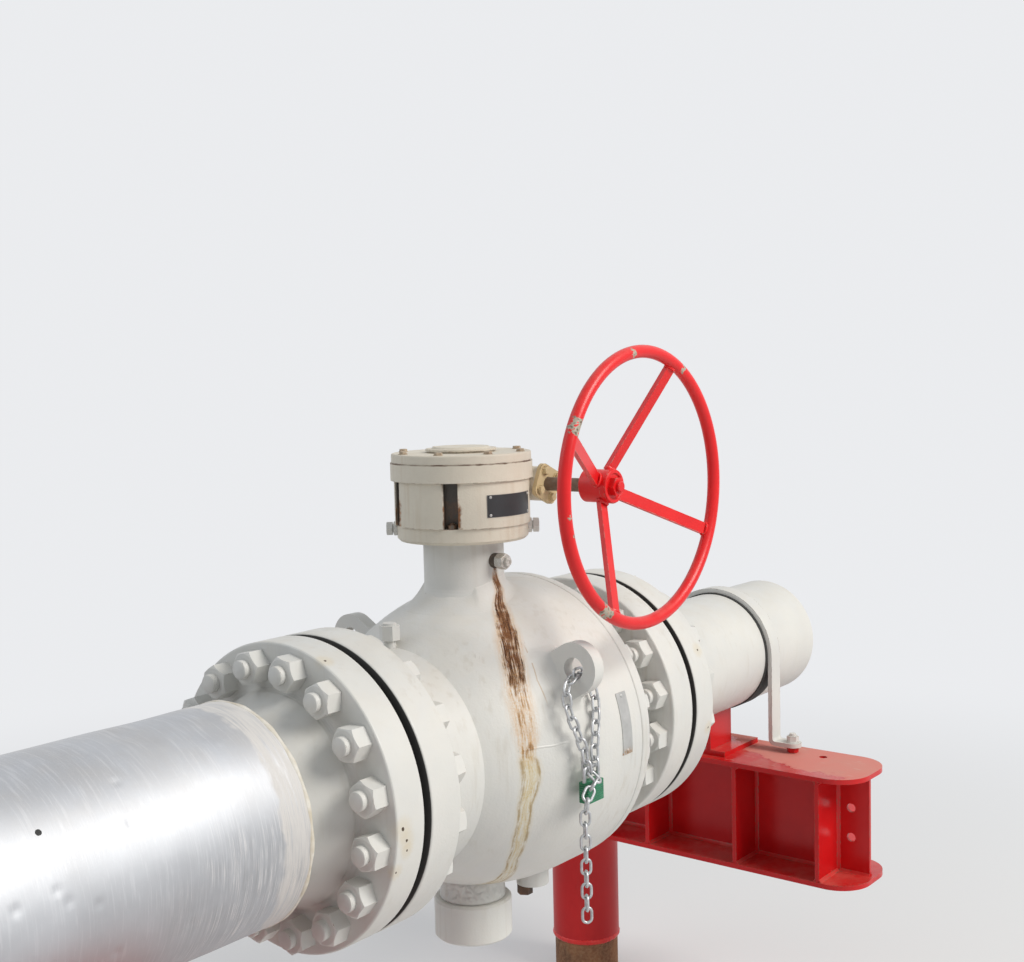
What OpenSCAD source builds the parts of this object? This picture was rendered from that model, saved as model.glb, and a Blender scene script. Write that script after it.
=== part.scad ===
// Flanged pipeline ball valve with worm gear operator, its pipe stubs and its two pile supports.
// +X runs along the pipe, +Y away from the handwheel, +Z up. The origin is the centre of the
// right post's foot, where the steel goes into the ground.

/* [Pipe line] */
// Height of the pipe centre above the ground
axis_h = 860; // [800:10:1000]
// Outside diameter of the steel pipe
pipe_od = 273; // [260:1:280]
// Wall of the steel pipe
pipe_wall = 12.7; // [8:0.1:16]
// From the valve stem to each cut end of the pipe
pipe_end = 1150; // [1080:5:1400]
// Outside diameter of the sheet metal cladding
clad_od = 358; // [340:1:368]
// Thickness of the cladding sheet
clad_t = 1.6; // [1:0.1:3]
// From the left hub's end to the edge of the cladding
clad_gap = 10; // [2:1:40]

/* [Flanges] */
// Outside diameter of all four flanges
flange_od = 508; // [490:1:540]
// Thickness of a welding neck flange without its raised face
flange_t = 63.5; // [50:0.5:70]
// Thickness of a valve flange without its raised face
valve_flange_t = 70; // [50:0.5:80]
// Diameter of the raised faces
raised_od = 324; // [300:1:350]
// Height of a raised face
raised_t = 6.4; // [3:0.1:8]
// Length of the tapered hub behind a welding neck flange
hub_len = 89; // [70:1:120]
// Diameter of the hub where it meets the flange
hub_od = 350; // [340:1:370]
// Thickness of a flange gasket
gasket_t = 3; // [1.5:0.1:5]

/* [Valve body] */
// From one raised face of the valve to the other
face_to_face = 787; // [760:1:860]
// Diameter of the bore through the valve
bore_d = 252; // [230:1:256]
// Largest diameter of the body
body_od = 568; // [540:1:590]
// Diameter of the neck behind the left flange
body_neck_od = 376; // [350:1:400]
// From the stem to the joint between the body and its closure flange
closure_x = 160; // [140:1:180]
// Thickness of the closure flange
closure_t = 44; // [30:1:50]
// Diameter of the end piece between the closure flange and the right flange
end_neck_od = 350; // [330:1:380]

/* [Lifting lugs] */
// Thickness of a lug
lug_t = 26; // [16:1:40]
// Outside radius of a lug round its hole
lug_r = 46; // [38:1:52]
// Diameter of the hole in a lug
lug_hole_d = 40; // [34:1:46]
// Distance of the lug's hole from the pipe centre
lug_reach = 315; // [305:1:325]
// Distance of the lugs from the stem, towards the left flange
lug_back = 20; // [0:1:40]
// Angle of the lug above the level of the pipe centre
lug_angle = 31; // [25:1:40]

/* [Stem neck] */
// Diameter of the neck that carries the gearbox
neck_od = 149; // [130:1:170]
// Height of the neck's top above the pipe centre
neck_top = 371; // [340:1:400]
// Radius of the flare where the neck meets the body
flare_r = 40; // [30:1:60]

/* [Gearbox] */
// Diameter of the mounting flange under the gearbox
mount_od = 242; // [220:1:250]
// Thickness of the mounting flange
mount_t = 29; // [20:1:40]
// Diameter of the lower part of the housing
drum_od = 250; // [240:1:256]
// Diameter of the band round the top of the housing
band_od = 262; // [258:1:280]
// Height of the whole housing
housing_h = 114; // [100:1:120]
// Height of the band
band_h = 32; // [20:1:40]
// Diameter of the cover
cover_od = 258; // [240:1:262]
// Thickness of the cover
cover_t = 17; // [10:1:24]
// Diameter of the indicator cap
cap_od = 131; // [110:1:150]
// Thickness of the indicator cap
cap_t = 7; // [6:1:14]
// Width of a pocket in the housing's side
pocket_w = 26; // [20:1:36]
// Depth of a pocket in the housing's side
pocket_depth = 22; // [10:1:26]
// Angle of the pockets off the pipe centre line
pocket_angle = 31; // [30:0.5:45]

/* [Worm and handwheel] */
// Distance of the worm shaft from the stem, along the pipe
worm_x = 105; // [100:1:110]
// Height of the worm shaft above the pipe centre
worm_z = 467; // [460:1:470]
// Outside diameter of the worm housing
worm_od = 64; // [56:1:64]
// From the stem to each end of the worm housing
worm_half = 112; // [105:1:120]
// Thickness of the worm housing's end covers
worm_cover_t = 8; // [5:1:12]
// Diameter of the input shaft
shaft_d = 25; // [20:1:30]
// Outside diameter of the handwheel
wheel_od = 500; // [450:5:520]
// Diameter of the rim tube
rim_d = 23; // [18:1:28]
// From the stem to the middle plane of the rim
rim_y = 332; // [325:1:350]
// From the stem to the front of the hub
hub_y = 266; // [255:1:280]
// Diameter of the hub's front plate
hub_plate_d = 62; // [50:1:70]
// Diameter of the hub's boss
boss_d = 60; // [40:1:62]
// Length of the hub's boss
boss_len = 56; // [30:1:70]
// Width of a spoke's flat bar
spoke_w = 22; // [16:1:28]
// Thickness of a spoke's flat bar
spoke_t = 9; // [6:1:12]
// Angle of the first spoke above the pipe's direction
spoke_angle = 65.5; // [0:0.5:90]

/* [Foot and fittings] */
// Diameter of the foot under the body
foot_od = 146; // [130:1:160]
// Height of the foot
foot_h = 74; // [50:1:100]
// Diameter of the round cap between body and foot
foot_cap_od = 122; // [110:1:130]
// Depth of the foot's top below the pipe centre
foot_top = 306; // [300:1:320]
// Diameter of the drain boss under the body
drain_boss_d = 62; // [50:1:70]
// How far the drain boss stands out below the body
drain_boss_h = 16; // [8:1:24]
// Height of the sealant fitting above the pipe centre
sealant_z = 334; // [315:1:345]

/* [Chain and padlock] */
// Diameter of the chain's wire
wire_d = 5; // [4:0.1:5.5]
// Inside length of a link
link_pitch = 21.5; // [20.5:0.1:23]
// Outside width of a link
link_w = 21; // [20:0.1:22]
// Width of the padlock's body
lock_w = 48; // [46:1:54]
// Height of the padlock's body
lock_h = 36; // [30:1:46]
// Thickness of the padlock's body
lock_t = 22; // [16:1:24]
// Diameter of the padlock's shackle
shackle_d = 7; // [6:0.5:8]
// From the padlock's body to the middle of the shackle's bar
shackle_h = 24; // [20:1:30]

/* [Supports] */
// From the stem to each support beam's web
support_x = 883; // [850:1:950]
// Height of a beam
beam_h = 247; // [220:1:260]
// Width of a beam's flanges
beam_w = 204; // [180:1:220]
// Thickness of a beam's flanges
beam_tf = 11; // [8:0.5:16]
// Thickness of a beam's web
beam_tw = 8; // [6:0.5:12]
// Depth of a beam's top below the pipe centre
beam_top = 222; // [215:1:240]
// From the pipe centre to the rounded near end of a beam
beam_near = 413; // [390:1:450]
// From the pipe centre to the far end of a beam
beam_far = 530; // [500:1:600]
// From the pipe centre line to the middle of a post
post_y = 375; // [340:1:410]
// Diameter of a post
post_od = 168; // [150:1:180]
// Height of the bare pile that stands out of the ground
pile_h = 95; // [60:1:140]
// Diameter of the pile
pile_od = 160; // [150:1:168]
// Radius of a beam flange's corners
beam_corner = 75; // [20:1:90]
// Thickness of a stiffener plate
stiff_t = 10; // [8:0.5:14]
// From the pipe centre line to the stiffener near the beam's end
stiff_end = 323; // [280:1:350]
// From the pipe centre line to the two stiffeners beside the pipe
stiff_mid = 118; // [90:1:160]

/* [Pipe straps] */
// Width of a strap
strap_w = 40; // [30:1:60]
// Thickness of a strap
strap_t = 10; // [6:0.5:12]
// From the beam's web to the middle of its strap
strap_off = 48; // [42:1:60]
// Length of a strap's foot
strap_foot = 72; // [60:1:80]
// Thickness of the liner under a strap
liner_t = 3; // [2:0.5:4]
// Gap between a strap's foot and the beam
foot_gap = 14; // [8:1:20]
// Thickness of a pipe rest's base plate
rest_plate_t = 12; // [8:1:16]
// Thickness of a pipe rest's upright walls
rest_wall_t = 12; // [8:1:16]
// From the pipe centre line to the middle of each upright wall
rest_wall_y = 40; // [30:1:55]

/* [Hidden] */
$fn = 72;

paint_grey = [0.80, 0.80, 0.77];
gear_beige = [0.72, 0.70, 0.62];
signal_red = [0.78, 0.07, 0.06];
bare_steel = [0.62, 0.63, 0.64];

pipe_r = pipe_od / 2;
body_r = body_od / 2;
flange_r = flange_od / 2;
valve_end = face_to_face / 2;
valve_rim = valve_end - raised_t;
valve_back = valve_rim - valve_flange_t;
mate_face = valve_end + gasket_t;
mate_rim = mate_face + raised_t;
mate_back = mate_rim + flange_t;
hub_end = mate_back + hub_len;
edge_r = 4;
neck_blend = 10;
end_blend = 24;
closure_corner = 30;
lug_x = -lug_back;
pipe_bore = pipe_od - 2 * pipe_wall;
hub_fillet = 13;
clad_start = hub_end + clad_gap;
clad_len = pipe_end - clad_start;
clad_ring_t = 3;
seam = 0.3;

drain_x = 100;
drain_y = -66;
drain_z = -body_r - drain_boss_h;
plug_af = 26;
plug_h = 21;
flare_top = body_r + 6;
skirt_slope = 42;
skirt_in = neck_od / 2 + flare_r * (1 - sin(skirt_slope));
skirt_r = skirt_in + 42;
skirt_z = flare_top - flare_r * cos(skirt_slope) - (skirt_r - skirt_in) * tan(skirt_slope);
neck_root = body_r - 134;
sealant_turn = -92;
vent_x = -196;
vent_y = 8;
vent_z = 178;

// The body swells from its left neck to its full size on an ellipse
bulge_x = 80;
bulge_a = 381;
function bulge_r(x) = body_r * sqrt(1 - pow((bulge_x - x) / bulge_a, 2));
bulge_start = bulge_x - bulge_a * sqrt(1 - pow((body_neck_od / 2 - 1) / body_r, 2));
skin_start = bulge_start + 14;
body_skin = [for (i = [0:24]) let (x = skin_start + (bulge_x - skin_start) * i / 24) [bulge_r(x), x]];

gear_z = neck_top + mount_t;
cover_z = gear_z + housing_h;
cap_z = cover_z + cover_t;
shaft_end_y = -60;
shaft_play = 0.1;
rim_r = wheel_od / 2 - rim_d / 2;
hub_plate_t = 10;
spoke_seat = 4;
spoke_y = hub_y - hub_plate_t - spoke_t / 2 - spoke_seat;
spoke_in = boss_d / 2 - 2;
wheel_nut_af = 31;
wheel_nut_h = 12;

beam_len = beam_near + beam_far;
web_setback = 10;
spare_hole_x = 50;
spare_hole_y = 267;
spare_hole_d = 18;
web_hole_y = 360;
web_hole_d = 20;
web_hole_drops = [88, 155];
stiff_setback = 2;
stiff_w = beam_w / 2 - beam_tw / 2 - stiff_setback;
stiff_y = [-stiff_end, -stiff_mid, stiff_mid, post_y - post_od / 4, post_y + post_od / 4];
post_top = axis_h - beam_top - beam_h;
strap_drop = beam_top - foot_gap;
strap_bend = 6;
liner_w = strap_w + 12;
rest_back = 78;
rest_front = 80;
rest_half = 83;
rest_wall_end = strap_off - liner_w / 2 - 4;

link_sides = 6;
link_rings = 14;
link_turn_r = (link_w - wire_d) / 2;
link_straight = link_pitch + wire_d - 2 * link_turn_r;
link_play = 0.4;
link_step = link_pitch - link_play;
link_turn_in = (link_step - link_straight) / 2;
hole_y = -lug_reach * cos(lug_angle);
hole_z = lug_reach * sin(lug_angle);
hole_link_z = hole_z - lug_hole_d / 2 + link_w / 2 + link_play;

// Leans of the links of a strand, from the lug to the padlock: along the pipe, and away from the body
strand_leans = [[60, 0], [32, 8], [4, 10], [-12, 12], [-18, 12], [-22, 10], [-18, 8], [-5, 6], [-7, 4]];
// The same for the far strand's free end, whose last nine links hang straight down
tail_bends = [[6, 52], [-62, 24], [-44, 0], [-16, 0]];
tail_leans = concat(tail_bends, [for (i = [1:9]) [0, 0]]);
near_run = strand_ways(1);
far_run = concat(strand_ways(-1), tail_ways());
lock_link = link_place(near_run, len(near_run) - 1);
shackle_seat = 11.2;
shackle_bar = lock_link[0] + shackle_seat * lock_link[1];
lock_top_z = shackle_bar[2] - shackle_h;

module stem_frame() {
    translate([-support_x, -post_y, axis_h]) children();
}

// Turns a half profile of [radius, distance along the pipe] points about the pipe centre
module pipe_turned(points) {
    rotate([0, 90, 0]) rotate_extrude($fn = 96) polygon(points);
}

// The body's round skin as a solid, to cut what stands on it
module body_solid() {
    pipe_turned(concat([[0, -valve_back], [body_neck_od / 2, -valve_back + neck_blend]],
        body_skin, [[body_r, closure_x], [0, closure_x]]));
}

module tube(od, id, len) {
    difference() {
        cylinder(d = od, h = len);
        translate([0, 0, -1]) cylinder(d = id, h = len + 2);
    }
}

function arc(cx, cy, r, a0, a1, n = 6) = [
    for (i = [0:n]) let (a = a0 + (a1 - a0) * i / n) [cx + r * cos(a), cy + r * sin(a)]
];

module lug(side) {
    reach_in = 90;
    rotate([side * lug_angle, 0, 0]) translate([lug_x - lug_t / 2, side * lug_reach, 0]) rotate([90, 0, 90])
        linear_extrude(lug_t) union() {
            circle(r = lug_r);
            translate([side > 0 ? -reach_in : 0, -lug_r]) square([reach_in, 2 * lug_r]);
        }
}

module lug_hole(side) {
    rotate([side * lug_angle, 0, 0]) translate([lug_x - lug_t, side * lug_reach, 0]) rotate([0, 90, 0])
        cylinder(d = lug_hole_d, h = 2 * lug_t);
}

module valve_bore(from, to) {
    translate([from, 0, 0]) rotate([0, 90, 0]) cylinder(d = bore_d, h = to - from);
}

module valve_body() {
    color(paint_grey) stem_frame() difference() {
        union() {
            pipe_turned(concat(
                [[0, -valve_end], [raised_od / 2, -valve_end], [raised_od / 2, -valve_rim]],
                arc(flange_r - edge_r, -valve_rim + edge_r, edge_r, -90, 0, 3),
                arc(flange_r - edge_r, -valve_back - edge_r, edge_r, 0, 90, 3),
                [[body_neck_od / 2 + neck_blend, -valve_back]],
                arc(body_neck_od / 2 + neck_blend, -valve_back + neck_blend, neck_blend, 270, 180, 5),
                body_skin,
                arc(body_r - edge_r, closure_x - edge_r, edge_r, 0, 90, 3),
                [[0, closure_x]]));
            for (side = [-1, 1]) lug(side);
            translate([drain_x, drain_y, drain_z]) cylinder(d = drain_boss_d, h = 90);
        }
        valve_bore(-valve_end - 1, closure_x + 1);
        for (side = [-1, 1]) lug_hole(side);
    }
}

module end_piece() {
    color(paint_grey) stem_frame() difference() {
        pipe_turned(concat(
            [[0, closure_x + seam]],
            arc(body_r - edge_r, closure_x + seam + edge_r, edge_r, -90, 0, 3),
            arc(body_r - closure_corner, closure_x + closure_t - closure_corner, closure_corner, 0, 90, 6),
            [[end_neck_od / 2 + end_blend, closure_x + closure_t]],
            arc(end_neck_od / 2 + end_blend, closure_x + closure_t + end_blend, end_blend, 270, 180, 5),
            arc(end_neck_od / 2 + end_blend, valve_back - end_blend, end_blend, 180, 90, 5),
            arc(flange_r - edge_r, valve_back + edge_r, edge_r, -90, 0, 3),
            arc(flange_r - edge_r, valve_rim - edge_r, edge_r, 0, 90, 3),
            [[raised_od / 2, valve_rim], [raised_od / 2, valve_end], [0, valve_end]]));
        valve_bore(closure_x - 1, valve_end + 1);
    }
}

module stem_neck() {
    color(paint_grey) stem_frame() difference() {
        rotate_extrude() polygon(concat(
            [[0, neck_root], [skirt_r, neck_root], [skirt_r, skirt_z]],
            arc(neck_od / 2 + flare_r, flare_top, flare_r, 270 - skirt_slope, 180, 6),
            [[neck_od / 2, neck_top], [0, neck_top]]));
        body_solid();
    }
}

module gearbox_mount() {
    chamfer = 5;
    color(gear_beige) stem_frame() rotate_extrude() polygon([
        [0, neck_top], [mount_od / 2 - chamfer, neck_top], [mount_od / 2, neck_top + chamfer],
        [mount_od / 2, gear_z], [0, gear_z]]);
}

module pocket(angle) {
    rotate([0, 0, angle]) translate([drum_od / 2 - pocket_depth, -pocket_w / 2, gear_z - 1])
        cube([band_od, pocket_w, housing_h - band_h + 1]);
}

module gearbox_housing() {
    color(gear_beige) stem_frame() difference() {
        union() {
            translate([0, 0, gear_z]) cylinder(d = drum_od, h = housing_h - band_h);
            translate([0, 0, cover_z - band_h]) cylinder(d = band_od, h = band_h);
            translate([worm_x, worm_half, worm_z]) rotate([90, 0, 0])
                cylinder(d = worm_od, h = 2 * worm_half);
        }
        for (side = [-1, 1], end = [0, 180]) pocket(end + side * pocket_angle);
        translate([worm_x, shaft_end_y, worm_z]) rotate([90, 0, 0])
            cylinder(d = shaft_d + 4, h = worm_half + shaft_end_y + 1);
    }
}

module gearbox_cover() {
    color(gear_beige) stem_frame() translate([0, 0, cover_z]) rotate_extrude() polygon(concat(
        [[0, 0], [cover_od / 2, 0]], arc(cover_od / 2 - 3, cover_t - 3, 3, 0, 90, 3), [[0, cover_t]]));
}

module indicator_cap() {
    step = 5;
    color(gear_beige) stem_frame() translate([0, 0, cap_z]) rotate_extrude() polygon([
        [0, 0], [cap_od / 2 - step, 0], [cap_od / 2 - step, 3], [cap_od / 2, 3], [cap_od / 2, cap_t - 1],
        [cap_od / 2 - 1, cap_t], [cap_od / 2 - 11, cap_t], [cap_od / 2 - 14, cap_t + 3], [0, cap_t + 3]]);
}

// A square plate with round corners for four bolts, set askew on the end of the worm tube
module worm_cover(side, hole_d) {
    turn = 65;
    bolt_half = 19;
    corner_r = 13;
    stem_frame() translate([worm_x, side * worm_half, worm_z]) rotate([-90 * side, 0, 0])
        rotate([0, 0, -side * turn]) difference() {
            union() {
                for (a = [0, 90]) rotate([0, 0, a]) translate([-bolt_half - corner_r, -bolt_half, 0])
                    cube([2 * (bolt_half + corner_r), 2 * bolt_half, worm_cover_t]);
                for (x = [-1, 1], y = [-1, 1]) translate([x * bolt_half, y * bolt_half, 0])
                    cylinder(r = corner_r, h = worm_cover_t);
            }
            if (hole_d > 0) translate([0, 0, -1]) cylinder(d = hole_d, h = worm_cover_t + 2);
        }
}

module worm_cover_near() {
    color(gear_beige) worm_cover(-1, shaft_d + 2 * shaft_play);
}

module worm_cover_far() {
    color(gear_beige) worm_cover(1, 0);
}

module wheel_frame() {
    stem_frame() translate([worm_x, 0, worm_z]) rotate([90, 0, 0]) children();
}

module input_shaft() {
    color(bare_steel) wheel_frame() translate([0, 0, -shaft_end_y])
        cylinder(d = shaft_d, h = hub_y + shaft_end_y);
}

module handwheel_hub() {
    color(signal_red) wheel_frame() difference() {
        union() {
            translate([0, 0, hub_y - hub_plate_t]) cylinder(d = hub_plate_d, h = hub_plate_t);
            translate([0, 0, hub_y - boss_len]) cylinder(d = boss_d, h = boss_len);
        }
        translate([0, 0, hub_y - boss_len - 1]) cylinder(d = shaft_d, h = boss_len + 2);
    }
}

module spoke(angle) {
    run = rim_r - spoke_in;
    rise = rim_y - spoke_y;
    rotate([0, 0, angle]) translate([spoke_in, 0, spoke_y]) rotate([0, -atan2(rise, run), 0])
        translate([0, -spoke_w / 2, -spoke_t / 2]) cube([sqrt(run * run + rise * rise), spoke_w, spoke_t]);
}

module handwheel_spokes() {
    color(signal_red) wheel_frame() difference() {
        for (i = [0:3]) spoke(spoke_angle + 90 * i);
        translate([0, 0, hub_y - boss_len]) cylinder(d = boss_d, h = boss_len);
        translate([0, 0, rim_y]) rotate_extrude() translate([rim_r, 0]) circle(d = rim_d);
    }
}

module handwheel_rim() {
    color(signal_red) wheel_frame() translate([0, 0, rim_y]) rotate_extrude() translate([rim_r, 0])
        circle(d = rim_d, $fn = 24);
}

module handwheel_nut() {
    color(signal_red) wheel_frame() translate([0, 0, hub_y])
        cylinder(d = wheel_nut_af / cos(30), h = wheel_nut_h, $fn = 6);
}

module hex_fitting(af, hex_h, end_d, end_h) {
    cylinder(d = af / cos(30), h = hex_h, $fn = 6);
    translate([0, 0, hex_h]) cylinder(d = end_d, h = end_h);
}

// A hexagon screwed into the neck, with a round cap on its end
module sealant_fitting() {
    seat = 4;
    color(bare_steel) stem_frame() rotate([0, 0, sealant_turn]) difference() {
        translate([neck_od / 2 - seat, 0, sealant_z]) rotate([0, 90, 0]) hex_fitting(26, 26, 20, 18);
        cylinder(d = neck_od, h = neck_top);
    }
}

// A hexagon on a short round neck that stands on the body's shoulder
module vent_fitting() {
    stalk_h = 34;
    color(bare_steel) stem_frame() difference() {
        translate([vent_x, vent_y, vent_z]) {
            cylinder(d = 22, h = stalk_h);
            translate([0, 0, stalk_h]) hex_fitting(32, 26, 24, 4);
        }
        body_solid();
    }
}

module drain_plug() {
    aside = [-9, 12, 0];
    color([0.20, 0.17, 0.15]) stem_frame() translate([drain_x, drain_y, drain_z - plug_h] + aside)
        cylinder(d = plug_af / cos(30), h = plug_h, $fn = 6);
}

module foot_cap() {
    shoulder_r = 16;
    shoulder_z = -foot_top + 34;
    root_z = -body_r + 84;
    color(paint_grey) stem_frame() difference() {
        rotate_extrude() polygon(concat(
            [[0, -foot_top], [foot_cap_od / 2, -foot_top]],
            arc(foot_cap_od / 2 - shoulder_r, shoulder_z, shoulder_r, 0, 90, 5),
            [[foot_cap_od / 2 - shoulder_r, root_z], [0, root_z]]));
        body_solid();
    }
}

module valve_foot() {
    chamfer = 4;
    color(paint_grey) stem_frame() translate([0, 0, -foot_top]) mirror([0, 0, 1]) rotate_extrude() polygon([
        [0, 0], [foot_od / 2 - chamfer, 0], [foot_od / 2, chamfer], [foot_od / 2, foot_h - chamfer],
        [foot_od / 2 - chamfer, foot_h], [0, foot_h]]);
}

module gasket(side) {
    stem_frame() translate([side > 0 ? valve_end : -mate_face, 0, 0]) rotate([0, 90, 0])
        tube(raised_od - 8, bore_d, gasket_t);
}

module left_gasket() {
    color("dimgray") gasket(-1);
}

module right_gasket() {
    color("dimgray") gasket(1);
}

module neck_flange(side) {
    stem_frame() mirror([side < 0 ? 1 : 0, 0, 0]) difference() {
        pipe_turned(concat(
            [[0, mate_face], [raised_od / 2, mate_face], [raised_od / 2, mate_rim]],
            arc(flange_r - edge_r, mate_rim + edge_r, edge_r, -90, 0, 3),
            arc(flange_r - edge_r, mate_back - edge_r, edge_r, 0, 90, 3),
            arc(hub_od / 2 + hub_fillet, mate_back + hub_fillet, hub_fillet, 270, 185, 5),
            [[pipe_r + 3, hub_end - 12], [pipe_r, hub_end - 6], [pipe_r, hub_end], [0, hub_end]]));
        rotate([0, 90, 0]) translate([0, 0, mate_face - 1]) cylinder(d = pipe_bore, h = hub_end);
    }
}

module left_neck_flange() {
    color(paint_grey) neck_flange(-1);
}

module right_neck_flange() {
    color(paint_grey) neck_flange(1);
}

module pipe(side) {
    stem_frame() mirror([side < 0 ? 1 : 0, 0, 0]) translate([hub_end, 0, 0]) rotate([0, 90, 0])
        tube(pipe_od, pipe_bore, pipe_end - hub_end);
}

module left_pipe() {
    color(paint_grey) pipe(-1);
}

module right_pipe() {
    color(paint_grey) pipe(1);
}

// The room that the left strap and its two legs take, with a seam of clearance
module left_strap_room() {
    in_r = pipe_r + seam;
    out_r = in_r + strap_t + seam;
    translate([-support_x - strap_off - strap_w / 2 - seam, 0, 0]) rotate([90, 0, 90])
        linear_extrude(strap_w + 2 * seam) {
            intersection() {
                circle(r = out_r, $fn = 96);
                translate([-out_r, 0]) square([2 * out_r, out_r]);
            }
            for (s = [0, 1]) mirror([s, 0]) translate([in_r - strap_t, -clad_od])
                square([out_r - in_r + strap_t, clad_od + 1]);
        }
}

module left_insulation() {
    color("khaki") stem_frame() difference() {
        translate([-clad_start - clad_ring_t, 0, 0]) rotate([0, -90, 0])
            tube(clad_od - 2 * clad_t, pipe_od, clad_len - 2 * clad_ring_t);
        left_strap_room();
    }
}

// A rolled sheet with a flat ring at each end that closes it against the pipe, cut for the legs
module left_cladding() {
    color([0.85, 0.86, 0.88]) stem_frame() difference() {
        translate([-clad_start, 0, 0]) rotate([0, -90, 0]) {
            tube(clad_od, clad_od - 2 * clad_t, clad_len);
            for (z = [0, clad_len - clad_ring_t]) translate([0, 0, z])
                tube(clad_od, pipe_od + 2 * seam, clad_ring_t);
        }
        left_strap_room();
    }
}

// A beam flange seen from above, with its four corners rounded
module flange_plate() {
    flat = beam_w - 2 * beam_corner;
    translate([-beam_w / 2, -beam_near + beam_corner]) square([beam_w, beam_len - 2 * beam_corner]);
    translate([-flat / 2, -beam_near]) square([flat, beam_len]);
    for (x = [-1, 1], y = [-beam_near + beam_corner, beam_far - beam_corner])
        translate([x * flat / 2, y]) circle(r = beam_corner);
}

module beam(side) {
    stem_frame() translate([side * support_x, 0, -beam_top - beam_h]) {
        linear_extrude(beam_tf) flange_plate();
        translate([0, 0, beam_h - beam_tf]) linear_extrude(beam_tf) difference() {
            flange_plate();
            translate([side * spare_hole_x, -spare_hole_y]) circle(d = spare_hole_d);
        }
        difference() {
            translate([-beam_tw / 2, -beam_near + web_setback, beam_tf])
                cube([beam_tw, beam_len - 2 * web_setback, beam_h - 2 * beam_tf]);
            for (drop = web_hole_drops) translate([-beam_tw, -web_hole_y, beam_h - drop]) rotate([0, 90, 0])
                cylinder(d = web_hole_d, h = 2 * beam_tw);
        }
    }
}

module right_beam() {
    color(signal_red) beam(1);
}

module left_beam() {
    color(signal_red) beam(-1);
}

module beam_stiffeners() {
    color(signal_red) stem_frame() for (side = [-1, 1], y = stiff_y, face = [-1, 1])
        translate([side * support_x + face * (beam_tw + stiff_w) / 2, y, -beam_top - beam_h / 2])
            cube([stiff_w, stiff_t, beam_h - 2 * beam_tf], center = true);
}

module post(side) {
    translate([side > 0 ? 0 : -2 * support_x, 0, pile_h]) cylinder(d = post_od, h = post_top - pile_h);
}

module pile(side) {
    translate([side > 0 ? 0 : -2 * support_x, 0, 0]) cylinder(d = pile_od, h = pile_h);
}

module right_post() {
    color(signal_red) post(1);
}

module left_post() {
    color(signal_red) post(-1);
}

module right_pile() {
    color([0.45, 0.30, 0.20]) pile(1);
}

module left_pile() {
    color([0.45, 0.30, 0.20]) pile(-1);
}

// A flat bar bent over the pipe, with legs down to two bolted feet that end round
module strap(in_r, x) {
    out_r = in_r + strap_t;
    leg = strap_drop - strap_t - strap_bend;
    run = strap_foot - strap_t - strap_bend - strap_w / 2;
    stem_frame() translate([x - strap_w / 2, 0, 0]) rotate([90, 0, 90]) {
        linear_extrude(strap_w) difference() {
            circle(r = out_r, $fn = 96);
            circle(r = in_r, $fn = 96);
            translate([-out_r - 1, -out_r - 1]) square([2 * out_r + 2, out_r + 1]);
        }
        for (s = [0, 1]) mirror([s, 0, 0]) {
            translate([in_r, -leg, 0]) cube([strap_t, leg, strap_w]);
            linear_extrude(strap_w) translate([out_r + strap_bend, -leg]) intersection() {
                difference() {
                    circle(r = strap_t + strap_bend);
                    circle(r = strap_bend);
                }
                translate([-strap_foot, -strap_foot]) square(strap_foot);
            }
            translate([out_r + strap_bend, -strap_drop, 0]) cube([run, strap_t, strap_w]);
            translate([out_r + strap_bend + run, -strap_drop, strap_w / 2]) rotate([-90, 0, 0])
                cylinder(d = strap_w, h = strap_t);
        }
    }
}

module right_strap() {
    color(paint_grey) strap(pipe_r + liner_t, support_x + strap_off);
}

module left_strap() {
    color(paint_grey) strap(pipe_r + seam, -support_x - strap_off);
}

// A rubber band round the pipe under its strap
module right_strap_liner() {
    color([0.08, 0.08, 0.08]) stem_frame() translate([support_x + strap_off - liner_w / 2, 0, 0])
        rotate([0, 90, 0]) tube(pipe_od + 2 * liner_t, pipe_od, liner_w);
}

// A cradle of two upright walls cut to the pipe, on a base plate over the beam
module pipe_rest(side, r) {
    stem_frame() mirror([side < 0 ? 1 : 0, 0, 0]) difference() {
        translate([support_x, 0, -beam_top]) {
            translate([-rest_back, -rest_half, 0])
                cube([rest_back + rest_front, 2 * rest_half, rest_plate_t]);
            for (s = [-1, 1]) translate([-rest_back, s * rest_wall_y - rest_wall_t / 2, rest_plate_t])
                cube([rest_back + rest_wall_end, rest_wall_t, beam_top]);
        }
        translate([support_x - rest_back - 1, 0, 0]) rotate([0, 90, 0])
            cylinder(r = r + seam, h = rest_back + rest_front + 2);
        translate([support_x - rest_back - 1, -rest_half, 0])
            cube([rest_back + rest_front + 2, 2 * rest_half, beam_top]);
    }
}

module right_pipe_rest() {
    color(signal_red) pipe_rest(1, pipe_r);
}

module left_pipe_rest() {
    color(signal_red) pipe_rest(-1, clad_od / 2);
}

// The middle line of a link's wire, an oval along X with its width along Y
function oval_point(i) = let (
    half = link_rings / 2,
    side = i < half ? 1 : -1,
    a = -90 * side + 180 * (i % half) / (half - 1))
    [side * link_straight / 2 + link_turn_r * cos(a), link_turn_r * sin(a), a];

function link_points() = [
    for (i = [0:link_rings - 1], j = [0:link_sides - 1]) let (
        c = oval_point(i),
        b = 360 * j / link_sides,
        out = wire_d / 2 * cos(b))
        [c[0] + out * cos(c[2]), c[1] + out * sin(c[2]), wire_d / 2 * sin(b)]
];

function link_faces() = [
    for (i = [0:link_rings - 1], j = [0:link_sides - 1]) let (
        i2 = (i + 1) % link_rings,
        j2 = (j + 1) % link_sides)
        [i * link_sides + j, i * link_sides + j2, i2 * link_sides + j2, i2 * link_sides + j]
];

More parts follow.
